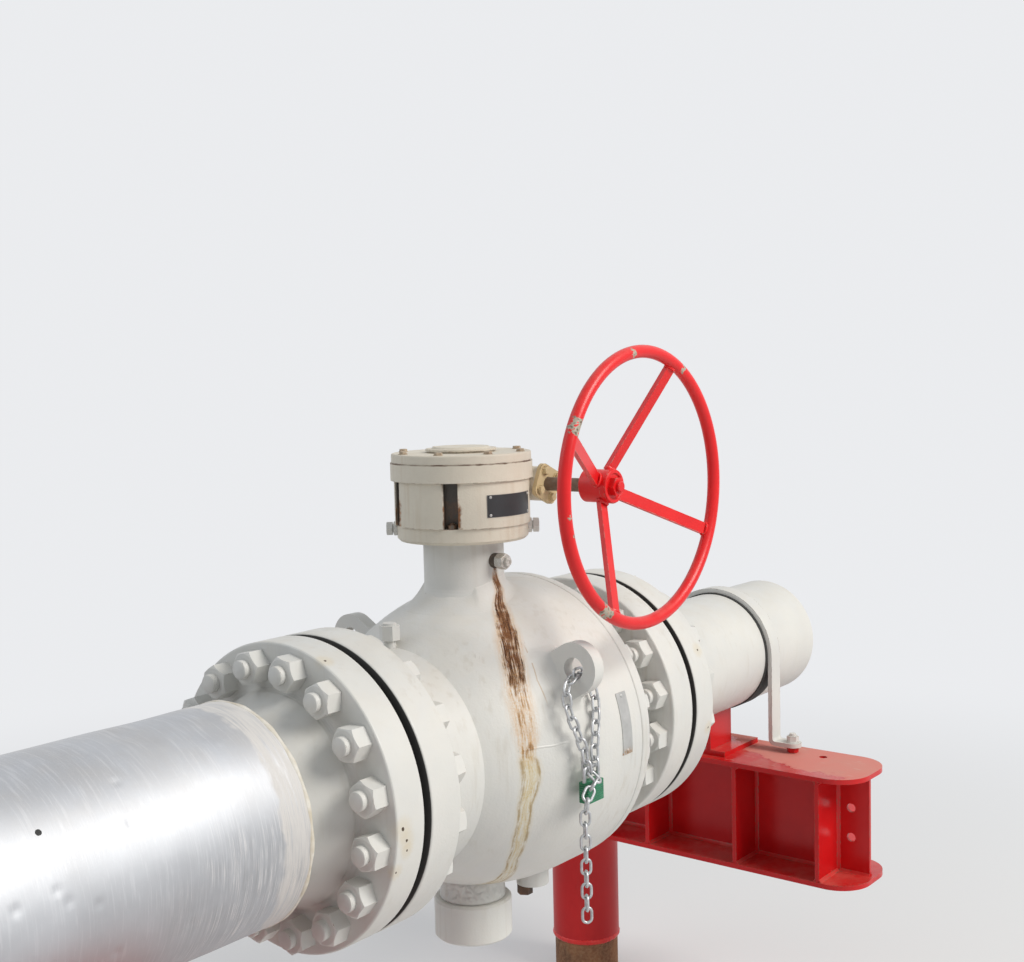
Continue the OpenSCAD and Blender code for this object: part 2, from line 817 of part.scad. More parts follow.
function unit(v) = v / norm(v);
function square_to(v, way) = unit(v - (v * way) * way);
function hang_way(lean) = [sin(lean[0]), -cos(lean[0]) * sin(lean[1]), -cos(lean[0]) * cos(lean[1])];
function strand_ways(side) = concat([[side, 0, 0]],
    [for (lean = strand_leans) hang_way([side * lean[0], lean[1]])]);
function tail_ways() = [for (lean = tail_leans) hang_way(lean)];

// Start, way and width way of link n in a run. Each link stands square to the one before it and
// bears on the inside of that one's end, wherever the run bends.
function link_place(ways, n) = n == 0
    ? [[-ways[0][0] * link_step / 2, hole_y, hole_link_z], ways[0], [0, 0, 1]]
    : let (
        last = link_place(ways, n - 1),
        turned = unit((ways[n] * last[1]) * last[1] + (ways[n] * last[2]) * last[2]))
        [last[0] + link_step * last[1] + link_turn_in * (2 * turned - last[1] - ways[n]), ways[n],
            square_to(cross(last[1], last[2]), ways[n])];

module chain_link(place) {
    up = cross(place[1], place[2]);
    mid = place[0] + place[1] * link_step / 2;
    multmatrix([
        [place[1][0], place[2][0], up[0], mid[0]],
        [place[1][1], place[2][1], up[1], mid[1]],
        [place[1][2], place[2][2], up[2], mid[2]]])
        polyhedron(points = link_points(), faces = link_faces(), convexity = 4);
}

// The near run starts with the link that lies in the lug's hole, and both runs hang from it
module lock_chain() {
    color([0.70, 0.71, 0.72]) stem_frame() translate([lug_x, 0, 0]) {
        for (n = [0:len(near_run) - 1]) chain_link(link_place(near_run, n));
        for (n = [1:len(far_run) - 1]) chain_link(link_place(far_run, n));
    }
}

module lock_frame() {
    stem_frame() translate([lug_x, shackle_bar[1], lock_top_z]) children();
}

module padlock_body() {
    lock_corner = 4;
    color([0.05, 0.35, 0.18]) lock_frame() rotate([90, 0, 0]) translate([0, -lock_h, -lock_t / 2])
        linear_extrude(lock_t) union() {
            translate([-lock_w / 2, lock_corner]) square([lock_w, lock_h - 2 * lock_corner]);
            translate([-lock_w / 2 + lock_corner, 0]) square([lock_w - 2 * lock_corner, lock_h]);
            for (x = [-1, 1], y = [lock_corner, lock_h - lock_corner])
                translate([x * (lock_w / 2 - lock_corner), y]) circle(r = lock_corner);
        }
}

module padlock_shackle() {
    corner_r = 5;
    leg_x = lock_w / 2 - shackle_d / 2;
    color([0.75, 0.76, 0.77]) lock_frame() {
        for (s = [0, 1]) mirror([s, 0, 0]) {
            translate([leg_x, 0, 0]) cylinder(d = shackle_d, h = shackle_h - corner_r);
            translate([leg_x - corner_r, 0, shackle_h - corner_r]) rotate([90, 0, 0])
                rotate_extrude(angle = 90) translate([corner_r, 0]) circle(d = shackle_d);
        }
        translate([-(leg_x - corner_r), 0, shackle_h]) rotate([0, 90, 0])
            cylinder(d = shackle_d, h = 2 * (leg_x - corner_r));
    }
}

valve_body();
end_piece();
stem_neck();
gearbox_mount();
gearbox_housing();
gearbox_cover();
indicator_cap();
worm_cover_near();
worm_cover_far();
input_shaft();
handwheel_hub();
handwheel_spokes();
handwheel_rim();
handwheel_nut();
sealant_fitting();
vent_fitting();
drain_plug();
foot_cap();
valve_foot();
left_gasket();
right_gasket();
left_neck_flange();
right_neck_flange();
left_pipe();
right_pipe();
left_insulation();
left_cladding();
right_beam();
left_beam();
beam_stiffeners();
right_post();
left_post();
right_pile();
left_pile();
right_strap();
left_strap();
right_strap_liner();
right_pipe_rest();
left_pipe_rest();
lock_chain();
padlock_body();
padlock_shackle();
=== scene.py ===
from math import copysign, cos, degrees, hypot, pi, radians, sin, sqrt, tan

import bmesh
import bpy
from mathutils import Matrix, Vector, noise


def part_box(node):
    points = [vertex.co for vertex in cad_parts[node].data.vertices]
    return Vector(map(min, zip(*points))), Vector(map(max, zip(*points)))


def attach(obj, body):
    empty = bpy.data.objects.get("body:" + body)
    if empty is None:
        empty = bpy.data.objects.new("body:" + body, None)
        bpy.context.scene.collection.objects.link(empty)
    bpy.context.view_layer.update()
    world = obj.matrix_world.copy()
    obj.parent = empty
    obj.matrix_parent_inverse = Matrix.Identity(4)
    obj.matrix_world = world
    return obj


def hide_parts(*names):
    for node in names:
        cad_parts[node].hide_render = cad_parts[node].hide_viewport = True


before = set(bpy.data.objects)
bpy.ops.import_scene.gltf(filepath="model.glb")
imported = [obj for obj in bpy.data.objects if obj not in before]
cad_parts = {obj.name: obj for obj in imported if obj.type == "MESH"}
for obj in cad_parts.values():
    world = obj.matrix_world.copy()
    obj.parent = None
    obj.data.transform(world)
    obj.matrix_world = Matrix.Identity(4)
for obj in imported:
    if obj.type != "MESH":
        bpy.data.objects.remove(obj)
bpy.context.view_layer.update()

# The room: the valve stands on a plain pale floor under one wide soft lamp on the handwheel side
# and a weaker one behind. The camera is a standing person's eye, 2.5 m back and to the left,
# looking along the pipe towards the bare end.
EYE = (-2.8199, -2.0370, 1.5374)
LENS_MM = 48.73
yaw, pitch, roll = radians(51.45), radians(-4.554), radians(-1.378)
look = Vector((sin(yaw) * cos(pitch), cos(yaw) * cos(pitch), sin(pitch)))
level_right = Vector((cos(yaw), -sin(yaw), 0))
level_up = level_right.cross(look)
right = cos(roll) * level_right + sin(roll) * level_up
up = cos(roll) * level_up - sin(roll) * level_right
camera = bpy.data.objects.new("camera", bpy.data.cameras.new("camera"))
camera.data.lens = LENS_MM
camera.data.sensor_width = 36
camera.data.clip_end = 200
camera.matrix_world = Matrix.Translation(EYE) @ Matrix((right, up, -look)).transposed().to_4x4()
bpy.context.scene.collection.objects.link(camera)
bpy.context.scene.camera = camera
bpy.context.scene.view_settings.view_transform = "Standard"

ROOM_CENTRE = Vector((-0.88, -0.38, 0.8))


def soft_lamp(name, away, width, watts, colour):
    lamp = bpy.data.objects.new(name, bpy.data.lights.new(name, "AREA"))
    lamp.data.size = width
    lamp.data.energy = watts
    lamp.data.color = colour
    lamp.location = ROOM_CENTRE + Vector(away)
    lamp.rotation_euler = Vector(away).to_track_quat("Z", "Y").to_euler()
    bpy.context.scene.collection.objects.link(lamp)


soft_lamp("key_lamp", (1.2, -4.4, 3.7), 2.6, 275, (1.0, 0.97, 0.92))
soft_lamp("back_lamp", (-3.5, 3.5, 3.5), 4.0, 60, (0.93, 0.96, 1.0))


def add_node(tree, kind, links=(), **values):
    """Adds a node. Links are (input, socket) pairs, and i1=9.0 sets the second input."""
    node = tree.nodes.new("ShaderNode" + kind)
    for key, value in values.items():
        if hasattr(node, key):
            setattr(node, key, value)
        else:
            node.inputs[int(key[1:]) if key[1:].isdigit() else key.replace("_", " ")].default_value = value
    for socket, source in links:
        tree.links.new(source, node.inputs[socket])
    return node


def calc(operation, *terms, clamp=False):
    """A sum on terms that are sockets or numbers, in the node tree of the first socket."""
    tree = next(term.id_data for term in terms if isinstance(term, bpy.types.NodeSocket))
    node = add_node(tree, "Math", operation=operation, use_clamp=clamp)
    for socket, term in zip(node.inputs, terms):
        if isinstance(term, bpy.types.NodeSocket):
            tree.links.new(term, socket)
        else:
            socket.default_value = term
    return node.outputs[0]


def mult(first, second, clamp=False):
    """Multiplies two values, which also keeps a mask only where another one is."""
    return calc("MULTIPLY", first, second, clamp=clamp)


def object_place(tree):
    """Where a point lies in the room, in metres: every piece sits at the origin."""
    return add_node(tree, "TexCoord").outputs["Object"]


world = bpy.data.worlds.new("studio")
bpy.context.scene.world = world
world.use_nodes = True
sky = world.node_tree
sky.nodes.clear()
BACKDROP = (0.83, 0.84, 0.86, 1)
rays = add_node(sky, "LightPath").outputs
seen = calc("MAXIMUM", calc("MAXIMUM", rays["Is Camera Ray"], rays["Is Glossy Ray"]), rays["Is Transmission Ray"])
room_light = add_node(sky, "Background", Color=(0.90, 0.95, 1.0, 1), Strength=0.42)
room_seen = add_node(sky, "Background", Color=BACKDROP, Strength=1.0)
room_mix = add_node(sky, "MixShader", [(0, seen), (1, room_light.outputs[0]), (2, room_seen.outputs[0])])
add_node(sky, "OutputWorld", [(0, room_mix.outputs[0])])

FLOOR_REACH = 40.0
floor_mesh = bpy.data.meshes.new("floor")
floor_mesh.from_pydata([(x * FLOOR_REACH, y * FLOOR_REACH, 0) for x, y in ((-1, -1), (1, -1), (1, 1), (-1, 1))], [],
                       [(0, 1, 2, 3)])
floor = bpy.data.objects.new("floor", floor_mesh)
bpy.context.scene.collection.objects.link(floor)
floor_paint = bpy.data.materials.new("floor_paint")
floor_paint.use_nodes = True
boards = floor_paint.node_tree
boards.nodes.clear()
floor_skin = add_node(boards, "BsdfDiffuse", Color=(0.80, 0.79, 0.775, 1))
floor_glow = add_node(boards, "Emission", Color=BACKDROP)
rays = add_node(boards, "LightPath").outputs
seen = calc("MAXIMUM", rays["Is Camera Ray"], rays["Is Glossy Ray"])
far = add_node(boards, "VectorMath", [(0, object_place(boards))], operation="DISTANCE",
               i1=(ROOM_CENTRE.x, ROOM_CENTRE.y, 0)).outputs["Value"]
fading = add_node(boards, "MapRange", [("Value", far)], interpolation_type="SMOOTHSTEP", From_Min=1.3, From_Max=4.5,
                  To_Min=0.30)
glow_share = mult(seen, fading.outputs[0])
floor_mix = add_node(boards, "MixShader", [(0, glow_share), (1, floor_skin.outputs[0]), (2, floor_glow.outputs[0])])
add_node(boards, "OutputMaterial", [(0, floor_mix.outputs[0])])
floor_mesh.materials.append(floor_paint)


# Piles: the bare ends of two 6 inch steel piles, driven into the ground. Nothing protects them,
# so they are rusty all over.
def new_group(name, inputs, outputs):
    """An empty node group. Inputs are names with their defaults, outputs are names."""
    group = bpy.data.node_groups.new(name, "ShaderNodeTree")
    for label, default in inputs.items():
        group.interface.new_socket(label, in_out="INPUT", socket_type="NodeSocketFloat").default_value = default
    for label in outputs:
        group.interface.new_socket(label, in_out="OUTPUT", socket_type="NodeSocketFloat")
    return group, group.nodes.new("NodeGroupInput"), group.nodes.new("NodeGroupOutput")


def place_group(tree, group, **values):
    """Places a group with its own values, and gives back its outputs."""
    node = add_node(tree, "Group", node_tree=group)
    for key, value in values.items():
        node.inputs[key.replace("_", " ")].default_value = value
    return node.outputs


def new_finish(name):
    """A material with its Principled shader and output, ready for nodes."""
    material = bpy.data.materials.new(name)
    material.use_nodes = True
    return material, material.node_tree, material.node_tree.nodes["Principled BSDF"]


def mix_colour(factor, first, second):
    """The first colour where the factor is 0, the second where it is 1."""
    node = add_node(factor.id_data, "Mix", [(0, factor)], data_type="RGBA")
    for socket, value in ((6, first), (7, second)):
        if isinstance(value, bpy.types.NodeSocket):
            factor.id_data.links.new(value, node.inputs[socket])
        else:
            node.inputs[socket].default_value = (*value, 1)
    return node.outputs[2]


def parts_of(vector):
    """The X, Y and Z of a vector."""
    return add_node(vector.id_data, "SeparateXYZ", [(0, vector)]).outputs


def stretched(place, scale, rotation=(0, 0, 0)):
    return add_node(place.id_data, "Mapping", [("Vector", place)], Scale=scale, Rotation=rotation).outputs[0]


def cloud_over(place, scale, detail, roughness=0.5, distortion=0.0):
    """Noise laid over a place. Its scale may be a socket."""
    node = add_node(place.id_data, "TexNoise", [("Vector", place)], Detail=detail, Roughness=roughness,
                    Distortion=distortion)
    if isinstance(scale, bpy.types.NodeSocket):
        place.id_data.links.new(scale, node.inputs["Scale"])
    else:
        node.inputs["Scale"].default_value = scale
    return node.outputs["Fac"]


def fade(value, low, high):
    """0 below low, 1 above high, smooth between them. Low may be the larger of the two."""
    return add_node(value.id_data, "MapRange", [("Value", value)], interpolation_type="SMOOTHSTEP", From_Min=low,
                    From_Max=high).outputs[0]


def blotch_group():
    """Soft patches of two sizes, for colour that varies over a surface."""
    group, into, out = new_group("blotches", {"Scale": 6.0}, ("Large", "Fine"))
    place = object_place(group)
    finer = add_node(group, "Math", [(0, into.outputs["Scale"])], operation="MULTIPLY", i1=9.0)
    for label, scale in (("Large", into.outputs["Scale"]), ("Fine", finer.outputs[0])):
        cloud = cloud_over(place, scale, 4.0, 0.6)
        stretch = add_node(group, "MapRange", [("Value", cloud)], From_Min=0.35, From_Max=0.65)
        group.links.new(stretch.outputs[0], out.inputs[label])
    return group


def skin_group():
    """Height of a rough skin: fine grain over slow waves."""
    group, into, out = new_group("skin", {"Grain": 500.0, "Waves": 25.0, "Wave Share": 0.5}, ("Height",))
    place = object_place(group)
    grain = cloud_over(place, into.outputs["Grain"], 2.0)
    waves = cloud_over(place, into.outputs["Waves"], 2.0)
    both = add_node(group, "Mix", [(0, into.outputs["Wave Share"]), (2, grain), (3, waves)], data_type="FLOAT")
    group.links.new(both.outputs[0], out.inputs["Height"])
    return group


BLOTCHES = blotch_group()
SKIN = skin_group()


def give_height(shader, height, depth_mm):
    bump = add_node(shader.id_data, "Bump", [("Height", height)], Distance=depth_mm / 1000)
    shader.id_data.links.new(bump.outputs["Normal"], shader.inputs["Normal"])


def roughen(shader, grain, waves, depth_mm):
    """Gives a shader the height of a rough skin."""
    give_height(shader, place_group(shader.id_data, SKIN, Grain=grain, Waves=waves)["Height"], depth_mm)


def coat(shader, colour, **constants):
    """Gives a shader its colour, and the values that are the same all over."""
    shader.id_data.links.new(colour, shader.inputs["Base Color"])
    for key, value in constants.items():
        shader.inputs[key.replace("_", " ")].default_value = value


def dress(material, *names):
    for name in names:
        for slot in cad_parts[name].material_slots:
            slot.material = material


def rust_finish():
    material, tree, shader = new_finish("pile_rust")
    patches = place_group(tree, BLOTCHES, Scale=14.0)
    colour = mix_colour(patches["Large"], (0.115, 0.052, 0.028), (0.30, 0.135, 0.058))
    colour = mix_colour(mult(patches["Fine"], 0.5), colour, (0.40, 0.235, 0.125))
    coat(shader, colour, Roughness=0.85)
    roughen(shader, 420.0, 60.0, 1.2)
    return material


PILE_RUST = rust_finish()
dress(PILE_RUST, "right_pile", "left_pile")


# Posts: two lengths of 6 inch pipe, welded on the piles and under the beams, in red paint.
# The weld at the foot has fresher paint than the post.
def edge_group():
    """Finds the edges of a piece: 1 on them and 0 away from them, and chips that gather there."""
    group, into, out = new_group("edges", {"Reach": 0.002, "Chip Scale": 60.0, "Chip Share": 0.5}, ("Edge", "Chips"))
    rounded = add_node(group, "Bevel", [("Radius", into.outputs["Reach"])], samples=4)
    surface = add_node(group, "NewGeometry")
    same = add_node(group, "VectorMath", [(0, rounded.outputs[0]), (1, surface.outputs["Normal"])],
                    operation="DOT_PRODUCT")
    edge = fade(same.outputs["Value"], 0.985, 0.80)
    group.links.new(edge, out.inputs["Edge"])
    place = object_place(group)
    cloud = cloud_over(place, into.outputs["Chip Scale"], 5.0, 0.7)
    reach = mult(edge, into.outputs["Chip Share"])
    chips = fade(calc("ADD", cloud, reach), 0.80, 0.84)
    group.links.new(chips, out.inputs["Chips"])
    return group


def top_dust_group():
    """Dust that lies on what faces up, in uneven patches, and marks that run straight down."""
    group, into, out = new_group("dust", {"Scale": 12.0}, ("Dust", "Runs"))
    surface = add_node(group, "NewGeometry")
    facing = parts_of(surface.outputs["Normal"])
    place = object_place(group)
    cloud = cloud_over(place, into.outputs["Scale"], 6.0, 0.65)
    lying = mult(fade(facing["Z"], 0.15, 0.95), fade(cloud, 0.35, 0.7))
    group.links.new(lying, out.inputs["Dust"])
    tall = stretched(place, (1.0, 1.0, 0.06))
    strands = cloud_over(tall, 70.0, 3.0)
    broad = cloud_over(place, 5.0, 2.0)
    runs = mult(fade(strands, 0.52, 0.72), fade(broad, 0.42, 0.62))
    group.links.new(runs, out.inputs["Runs"])
    return group


EDGES = edge_group()
DUST = top_dust_group()


def red_support_finish(name, top_faded=False):
    material, tree, shader = new_finish(name)
    patches = place_group(tree, BLOTCHES, Scale=5.0)
    edges = place_group(tree, EDGES, Reach=0.003, Chip_Scale=70.0, Chip_Share=0.30)
    dust = place_group(tree, DUST, Scale=9.0)
    colour = mix_colour(patches["Large"], (0.50, 0.006, 0.008), (0.60, 0.010, 0.011))
    if top_faded:
        surface = add_node(tree, "NewGeometry")
        facing = parts_of(surface.outputs["Normal"])
        place = object_place(tree)
        at = parts_of(place)
        on_top = mult(fade(facing["Z"], 0.7, 0.9), fade(at["Z"], 0.60, 0.63))
        cloud = cloud_over(place, 16.0, 4.0, distortion=0.4)
        own_x = calc("ADD", at["X"], mult(calc("LESS_THAN", at["X"], -0.9), 1.766))
        slant = mult(calc("MAXIMUM", calc("ADD", at["Y"], 0.605), 0.0), 0.55)
        ragged = mult(calc("SUBTRACT", cloud, 0.5), 0.10)
        past = calc("ADD", calc("SUBTRACT", calc("ADD", own_x, 0.063), slant), ragged)
        far_end = fade(calc("ADD", at["Y"], ragged), -0.745, -0.755)
        bleached = mult(on_top, calc("MAXIMUM", fade(past, -0.003, 0.007), far_end))
        colour = mix_colour(mult(bleached, 0.88), colour, (0.66, 0.245, 0.20))
        scratch = stretched(place, (1.0, 0.12, 1.0), (0, 0, 0.5))
        lines = cloud_over(scratch, 160.0, 3.0)
        scored = mult(on_top, fade(lines, 0.66, 0.72))
        colour = mix_colour(mult(scored, 0.6), colour, (0.66, 0.52, 0.42))
        gloss = add_node(tree, "Mix", [(0, bleached)], data_type="FLOAT")
        gloss.inputs[2].default_value = 0.24
        gloss.inputs[3].default_value = 0.62
        tree.links.new(gloss.outputs[0], shader.inputs["Roughness"])
    else:
        shader.inputs["Roughness"].default_value = 0.38
    colour = mix_colour(mult(dust["Dust"], 0.22), colour, (0.50, 0.36, 0.28))
    colour = mix_colour(mult(edges["Edge"], 0.22), colour, (0.85, 0.07, 0.05))
    colour = mix_colour(edges["Chips"], colour, (0.17, 0.10, 0.07))
    coat(shader, colour, Specular_IOR_Level=0.35)
    roughen(shader, 260.0, 40.0, 0.35)
    return material


def skin_rings(bm, rings, caps=True, loop=False):
    """Joins rings of points with faces, closing them with flat caps or into a loop."""
    rows = [[bm.verts.new(point) for point in ring] for ring in rings]
    for first, second in zip(rows, rows[1:] + (rows[:1] if loop else [])):
        for i in range(len(first)):
            j = (i + 1) % len(first)
            bm.faces.new((first[i], first[j], second[j], second[i]))
    if caps and not loop:
        bm.faces.new(list(reversed(rows[0])))
        bm.faces.new(rows[-1])


def side_ways(axis):
    """Two directions square to the axis and to each other."""
    axis = Vector(axis).normalized()
    first = axis.cross(Vector((0, 0, 1)) if abs(axis.z) < 0.9 else Vector((1, 0, 0))).normalized()
    return first, axis.cross(first)


def add_turned(bm, centre, axis, profile, count=48, loop=False):
    """Turns a profile about an axis, from pairs of (radius, distance along the axis) in millimetres."""
    axis = Vector(axis).normalized()
    first, second = side_ways(axis)
    rings = []
    for radius, along in profile:
        ring = []
        for i in range(count):
            angle = 2 * pi * i / count
            out = (first * cos(angle) + second * sin(angle)) * radius
            ring.append(Vector(centre) + (out + axis * along) / 1000)
        rings.append(ring)
    skin_rings(bm, rings, loop=loop)


SUPPORT_X, POST_Y = 883, 375
AXIS_H = 860


def stem(x, y, z):
    """A point in millimetres from where the valve stem crosses the pipe's centre line."""
    return Vector((x - SUPPORT_X, y - POST_Y, z + AXIS_H)) / 1000


def make_piece(name, bm, material, body="root", smooth_below=40):
    bmesh.ops.recalc_face_normals(bm, faces=bm.faces)
    mesh = bpy.data.meshes.new(name)
    bm.to_mesh(mesh)
    bm.free()
    for polygon in mesh.polygons:
        polygon.use_smooth = True
    mesh.set_sharp_from_angle(angle=radians(smooth_below))
    mesh.materials.append(material)
    piece = bpy.data.objects.new(name, mesh)
    bpy.context.scene.collection.objects.link(piece)
    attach(piece, body)
    return piece


def bead_round(bm, centre, axis, radius, width, lift, ripples, count=240, lie=0.0, swell=0.10):
    """A weld bead round a pipe, with the ripples of its passes. Lie leans it off square."""
    axis = Vector(axis).normalized()
    first, second = side_ways(axis)
    section = [(-0.5, -0.4), (-0.36, 0.55), (-0.12, 0.95), (0.12, 0.95), (0.36, 0.55), (0.5, -0.4)]
    rings = []
    for i in range(count):
        angle = 2 * pi * i / count
        out = first * cos(angle) + second * sin(angle)
        wave = 1 + swell * sin(angle * ripples) + 0.12 * noise.noise(out * 9 + Vector(centre))
        ring = []
        for along, rise in section:
            leaned = along * width * wave * cos(lie) - rise * lift * sin(lie)
            lifted = rise * lift * wave * cos(lie) + along * width * sin(lie)
            ring.append(Vector(centre) + (out * (radius + lifted) + axis * leaned) / 1000)
        rings.append(ring)
    skin_rings(bm, rings, loop=True)


POST_RED = red_support_finish("post_red")
dress(POST_RED, "right_post", "left_post")


def two_tone_finish(name, scale, first, second, patch="Large", **constants):
    """A finish of one colour that turns to a second in patches."""
    material, tree, shader = new_finish(name)
    coat(shader, mix_colour(place_group(tree, BLOTCHES, Scale=scale)[patch], first, second), **constants)
    return material


FRESH_RED = two_tone_finish("fresh_red", 30.0, (0.72, 0.012, 0.012), (0.80, 0.035, 0.025), Roughness=0.32)
POST_R = 84
PILE_TOP = 95
BEAM_FOOT = 391
welds = bmesh.new()
for post_x in (SUPPORT_X, -SUPPORT_X):
    bead_round(welds, stem(post_x, POST_Y, PILE_TOP - AXIS_H), (0, 0, 1), POST_R - 4, 18, 6, 60, swell=0.04)
make_piece("post_foot_welds", welds, FRESH_RED)
welds = bmesh.new()
for post_x in (SUPPORT_X, -SUPPORT_X):
    bead_round(welds, stem(post_x, POST_Y, BEAM_FOOT - AXIS_H - 2), (0, 0, 1), POST_R + 1, 11, 4, 70, lie=0.7)
make_piece("post_head_welds", welds, POST_RED)


# Beams: two 10 inch wide-flange beams with rounded flange ends, deep red. Sun and rain have
# bleached their tops pink, and the stiffener plates are welded in all round.
BEAM_RED = red_support_finish("beam_red", top_faded=True)
dress(BEAM_RED, "right_beam", "left_beam", "beam_stiffeners", "right_pipe_rest", "left_pipe_rest")
BEAM_TOP = -222
FLANGE_T = 11
BEAM_H = 247
WEB_HALF = 4
BEAM_ENDS = (-403, 520)
STIFF_Y = (-323, -118, 118, 333, 417)
STIFF_HALF = 5
STIFF_OUT = 100


def fillet_run(bm, start, end, way_a, way_b, leg):
    """A straight fillet weld of a rippled, slightly hollow section between two plates."""
    start, end = Vector(start), Vector(end)
    steps = max(2, int((end - start).length * 1000 / 7))
    rings = []
    for i in range(steps + 1):
        at = start.lerp(end, i / steps)
        size = leg / 1000 * (1 + 0.16 * noise.noise(at * 130) + (0.10 if i % 2 else 0))
        a, b = Vector(way_a) * size, Vector(way_b) * size
        rings.append([at - (a + b) * 0.2, at + a, at + (a + b) * 0.40, at + b])
    skin_rings(bm, rings)


welds = bmesh.new()
for beam_x in (SUPPORT_X, -SUPPORT_X):
    for face in (-1, 1):
        root_x = beam_x + face * WEB_HALF
        for z, rise in ((BEAM_TOP - FLANGE_T, -1), (BEAM_TOP - BEAM_H + FLANGE_T, 1)):
            fillet_run(welds, stem(root_x, BEAM_ENDS[0], z), stem(root_x, BEAM_ENDS[1], z), (face, 0, 0),
                       (0, 0, rise), 6)
            for y in STIFF_Y:
                for side in (-1, 1):
                    edge_y = y + side * STIFF_HALF
                    fillet_run(welds, stem(root_x, edge_y, z), stem(beam_x + face * STIFF_OUT, edge_y, z),
                               (0, side, 0), (0, 0, rise), 6)
        for y in STIFF_Y:
            for side in (-1, 1):
                fillet_run(welds, stem(root_x, y + side * STIFF_HALF, BEAM_TOP - FLANGE_T),
                           stem(root_x, y + side * STIFF_HALF, BEAM_TOP - BEAM_H + FLANGE_T), (0, side, 0),
                           (face, 0, 0), 6)
make_piece("beam_welds", welds, POST_RED, smooth_below=60)


# Pipes and their welding neck flanges: 10 inch steel, forged flanges butt-welded to the pipe and
# painted in place with the valve, a light grey that dust and dried runs have stained a little.
PAINT_LIGHT = (0.69, 0.68, 0.645)
PAINT_DARK = (0.62, 0.62, 0.60)


def gap_shade_group():
    """The flange faces deep in the two joints, unpainted and darkened near black as painted shade: 1 between the faces
    and 0 elsewhere.
    """
    group, _, out = new_group("joint_gap_shade", {}, ("Gap",))
    place = object_place(group)
    at = parts_of(place)
    off = calc("ABSOLUTE", calc("ADD", at["X"], 0.883))
    between = mult(fade(off, 0.3858, 0.3868), fade(off, 0.4042, 0.4032))
    group.links.new(between, out.inputs["Gap"])
    return group


GAP_SHADE = gap_shade_group()


def grey_paint_finish(name, grain=300.0, waves=30.0, depth_mm=0.25, stain=0.25, chip_share=0.16, rust_paths=()):
    material, tree, shader = new_finish(name)
    patches = place_group(tree, BLOTCHES, Scale=4.0)
    edges = place_group(tree, EDGES, Reach=0.0025, Chip_Scale=55.0, Chip_Share=chip_share)
    dust = place_group(tree, DUST, Scale=14.0)
    colour = mix_colour(patches["Large"], PAINT_LIGHT, PAINT_DARK)
    colour = mix_colour(mult(patches["Fine"], 0.16), colour, (0.70, 0.67, 0.60))
    colour = mix_colour(mult(dust["Dust"], 0.26), colour, (0.62, 0.56, 0.46))
    colour = mix_colour(mult(dust["Runs"], stain), colour, (0.42, 0.36, 0.27))
    colour = mix_colour(mult(edges["Edge"], 0.35), colour, (0.76, 0.75, 0.71))
    colour = mix_colour(edges["Chips"], colour, (0.20, 0.115, 0.065))
    for rust_path in rust_paths:
        colour = rust_path(tree, colour)
    gap = place_group(tree, GAP_SHADE)
    # Painted shade on bare steel: the faces and studs between the flanges go near black.
    colour = mix_colour(mult(gap["Gap"], 0.93), colour, (0.025, 0.022, 0.020))
    tree.links.new(colour, shader.inputs["Base Color"])
    rough = add_node(tree, "MapRange", [("Value", patches["Fine"])], To_Min=0.40, To_Max=0.56)
    rusty = mult(fade(colour, 0.50, 0.25), 0.92)
    tree.links.new(calc("MAXIMUM", rough.outputs[0], rusty), shader.inputs["Roughness"])
    roughen(shader, grain, waves, depth_mm)
    return material


RIM_CHIPS = ((-453, -253.9, -6.4, 4.2), (-444, -252.6, -26.7, 3.4), (-442, -250.3, -43.2, 2.6),
             (-460, -243, -74, 2.4), (-455, -100, 233.5, 3.0), (-437, 229, 109.6, 4.0), (446, -230, 107.8, 3.0),
             (452, -249, -50, 2.6))


def rim_chips(tree, colour):
    """Spots on the flange rims where the paint has come off, each with a faint yellow stain round it."""
    place = object_place(tree)
    rough = cloud_over(place, 280.0, 3.0)
    for x, y, z, reach in RIM_CHIPS:
        far = add_node(tree, "VectorMath", [(0, place)], operation="DISTANCE", i1=stem(x, y, z))
        edge = calc("ADD", far.outputs["Value"], mult(rough, reach / 1000))
        stained = fade(calc("SUBTRACT", far.outputs["Value"], mult(rough, 0.012)), reach / 200, 0)
        colour = mix_colour(mult(stained, 0.30), colour, (0.62, 0.50, 0.30))
        colour = mix_colour(fade(edge, reach / 720, reach / 900), colour, (0.07, 0.045, 0.03))
    return colour


PIPE_GREY = grey_paint_finish("pipe_grey", stain=0.12, rust_paths=(rim_chips,))
dress(PIPE_GREY, "left_neck_flange", "right_neck_flange", "left_pipe", "right_pipe")
HUB_END = 555.4
PIPE_R = 136.5
welds = bmesh.new()
for side in (-1, 1):
    bead_round(welds, stem(side * HUB_END, 0, 0), (1, 0, 0), PIPE_R, 16, 2.2, 110, count=360)
make_piece("pipe_welds", welds, PIPE_GREY, smooth_below=60)


# Gaskets: spiral-wound rings, steel strip and dark filler, squeezed between the raised faces.
# Only their edges show, deep in the gap between two flanges.
GASKET_DARK, tree, shader = new_finish("gasket_dark")
place = object_place(tree)
layers = add_node(tree, "TexWave", [("Vector", place)], Scale=400.0, bands_direction="X")
coat(shader, mix_colour(layers.outputs["Fac"], (0.045, 0.045, 0.05), (0.13, 0.13, 0.135)), Roughness=0.6)
dress(GASKET_DARK, "left_gasket", "right_gasket")


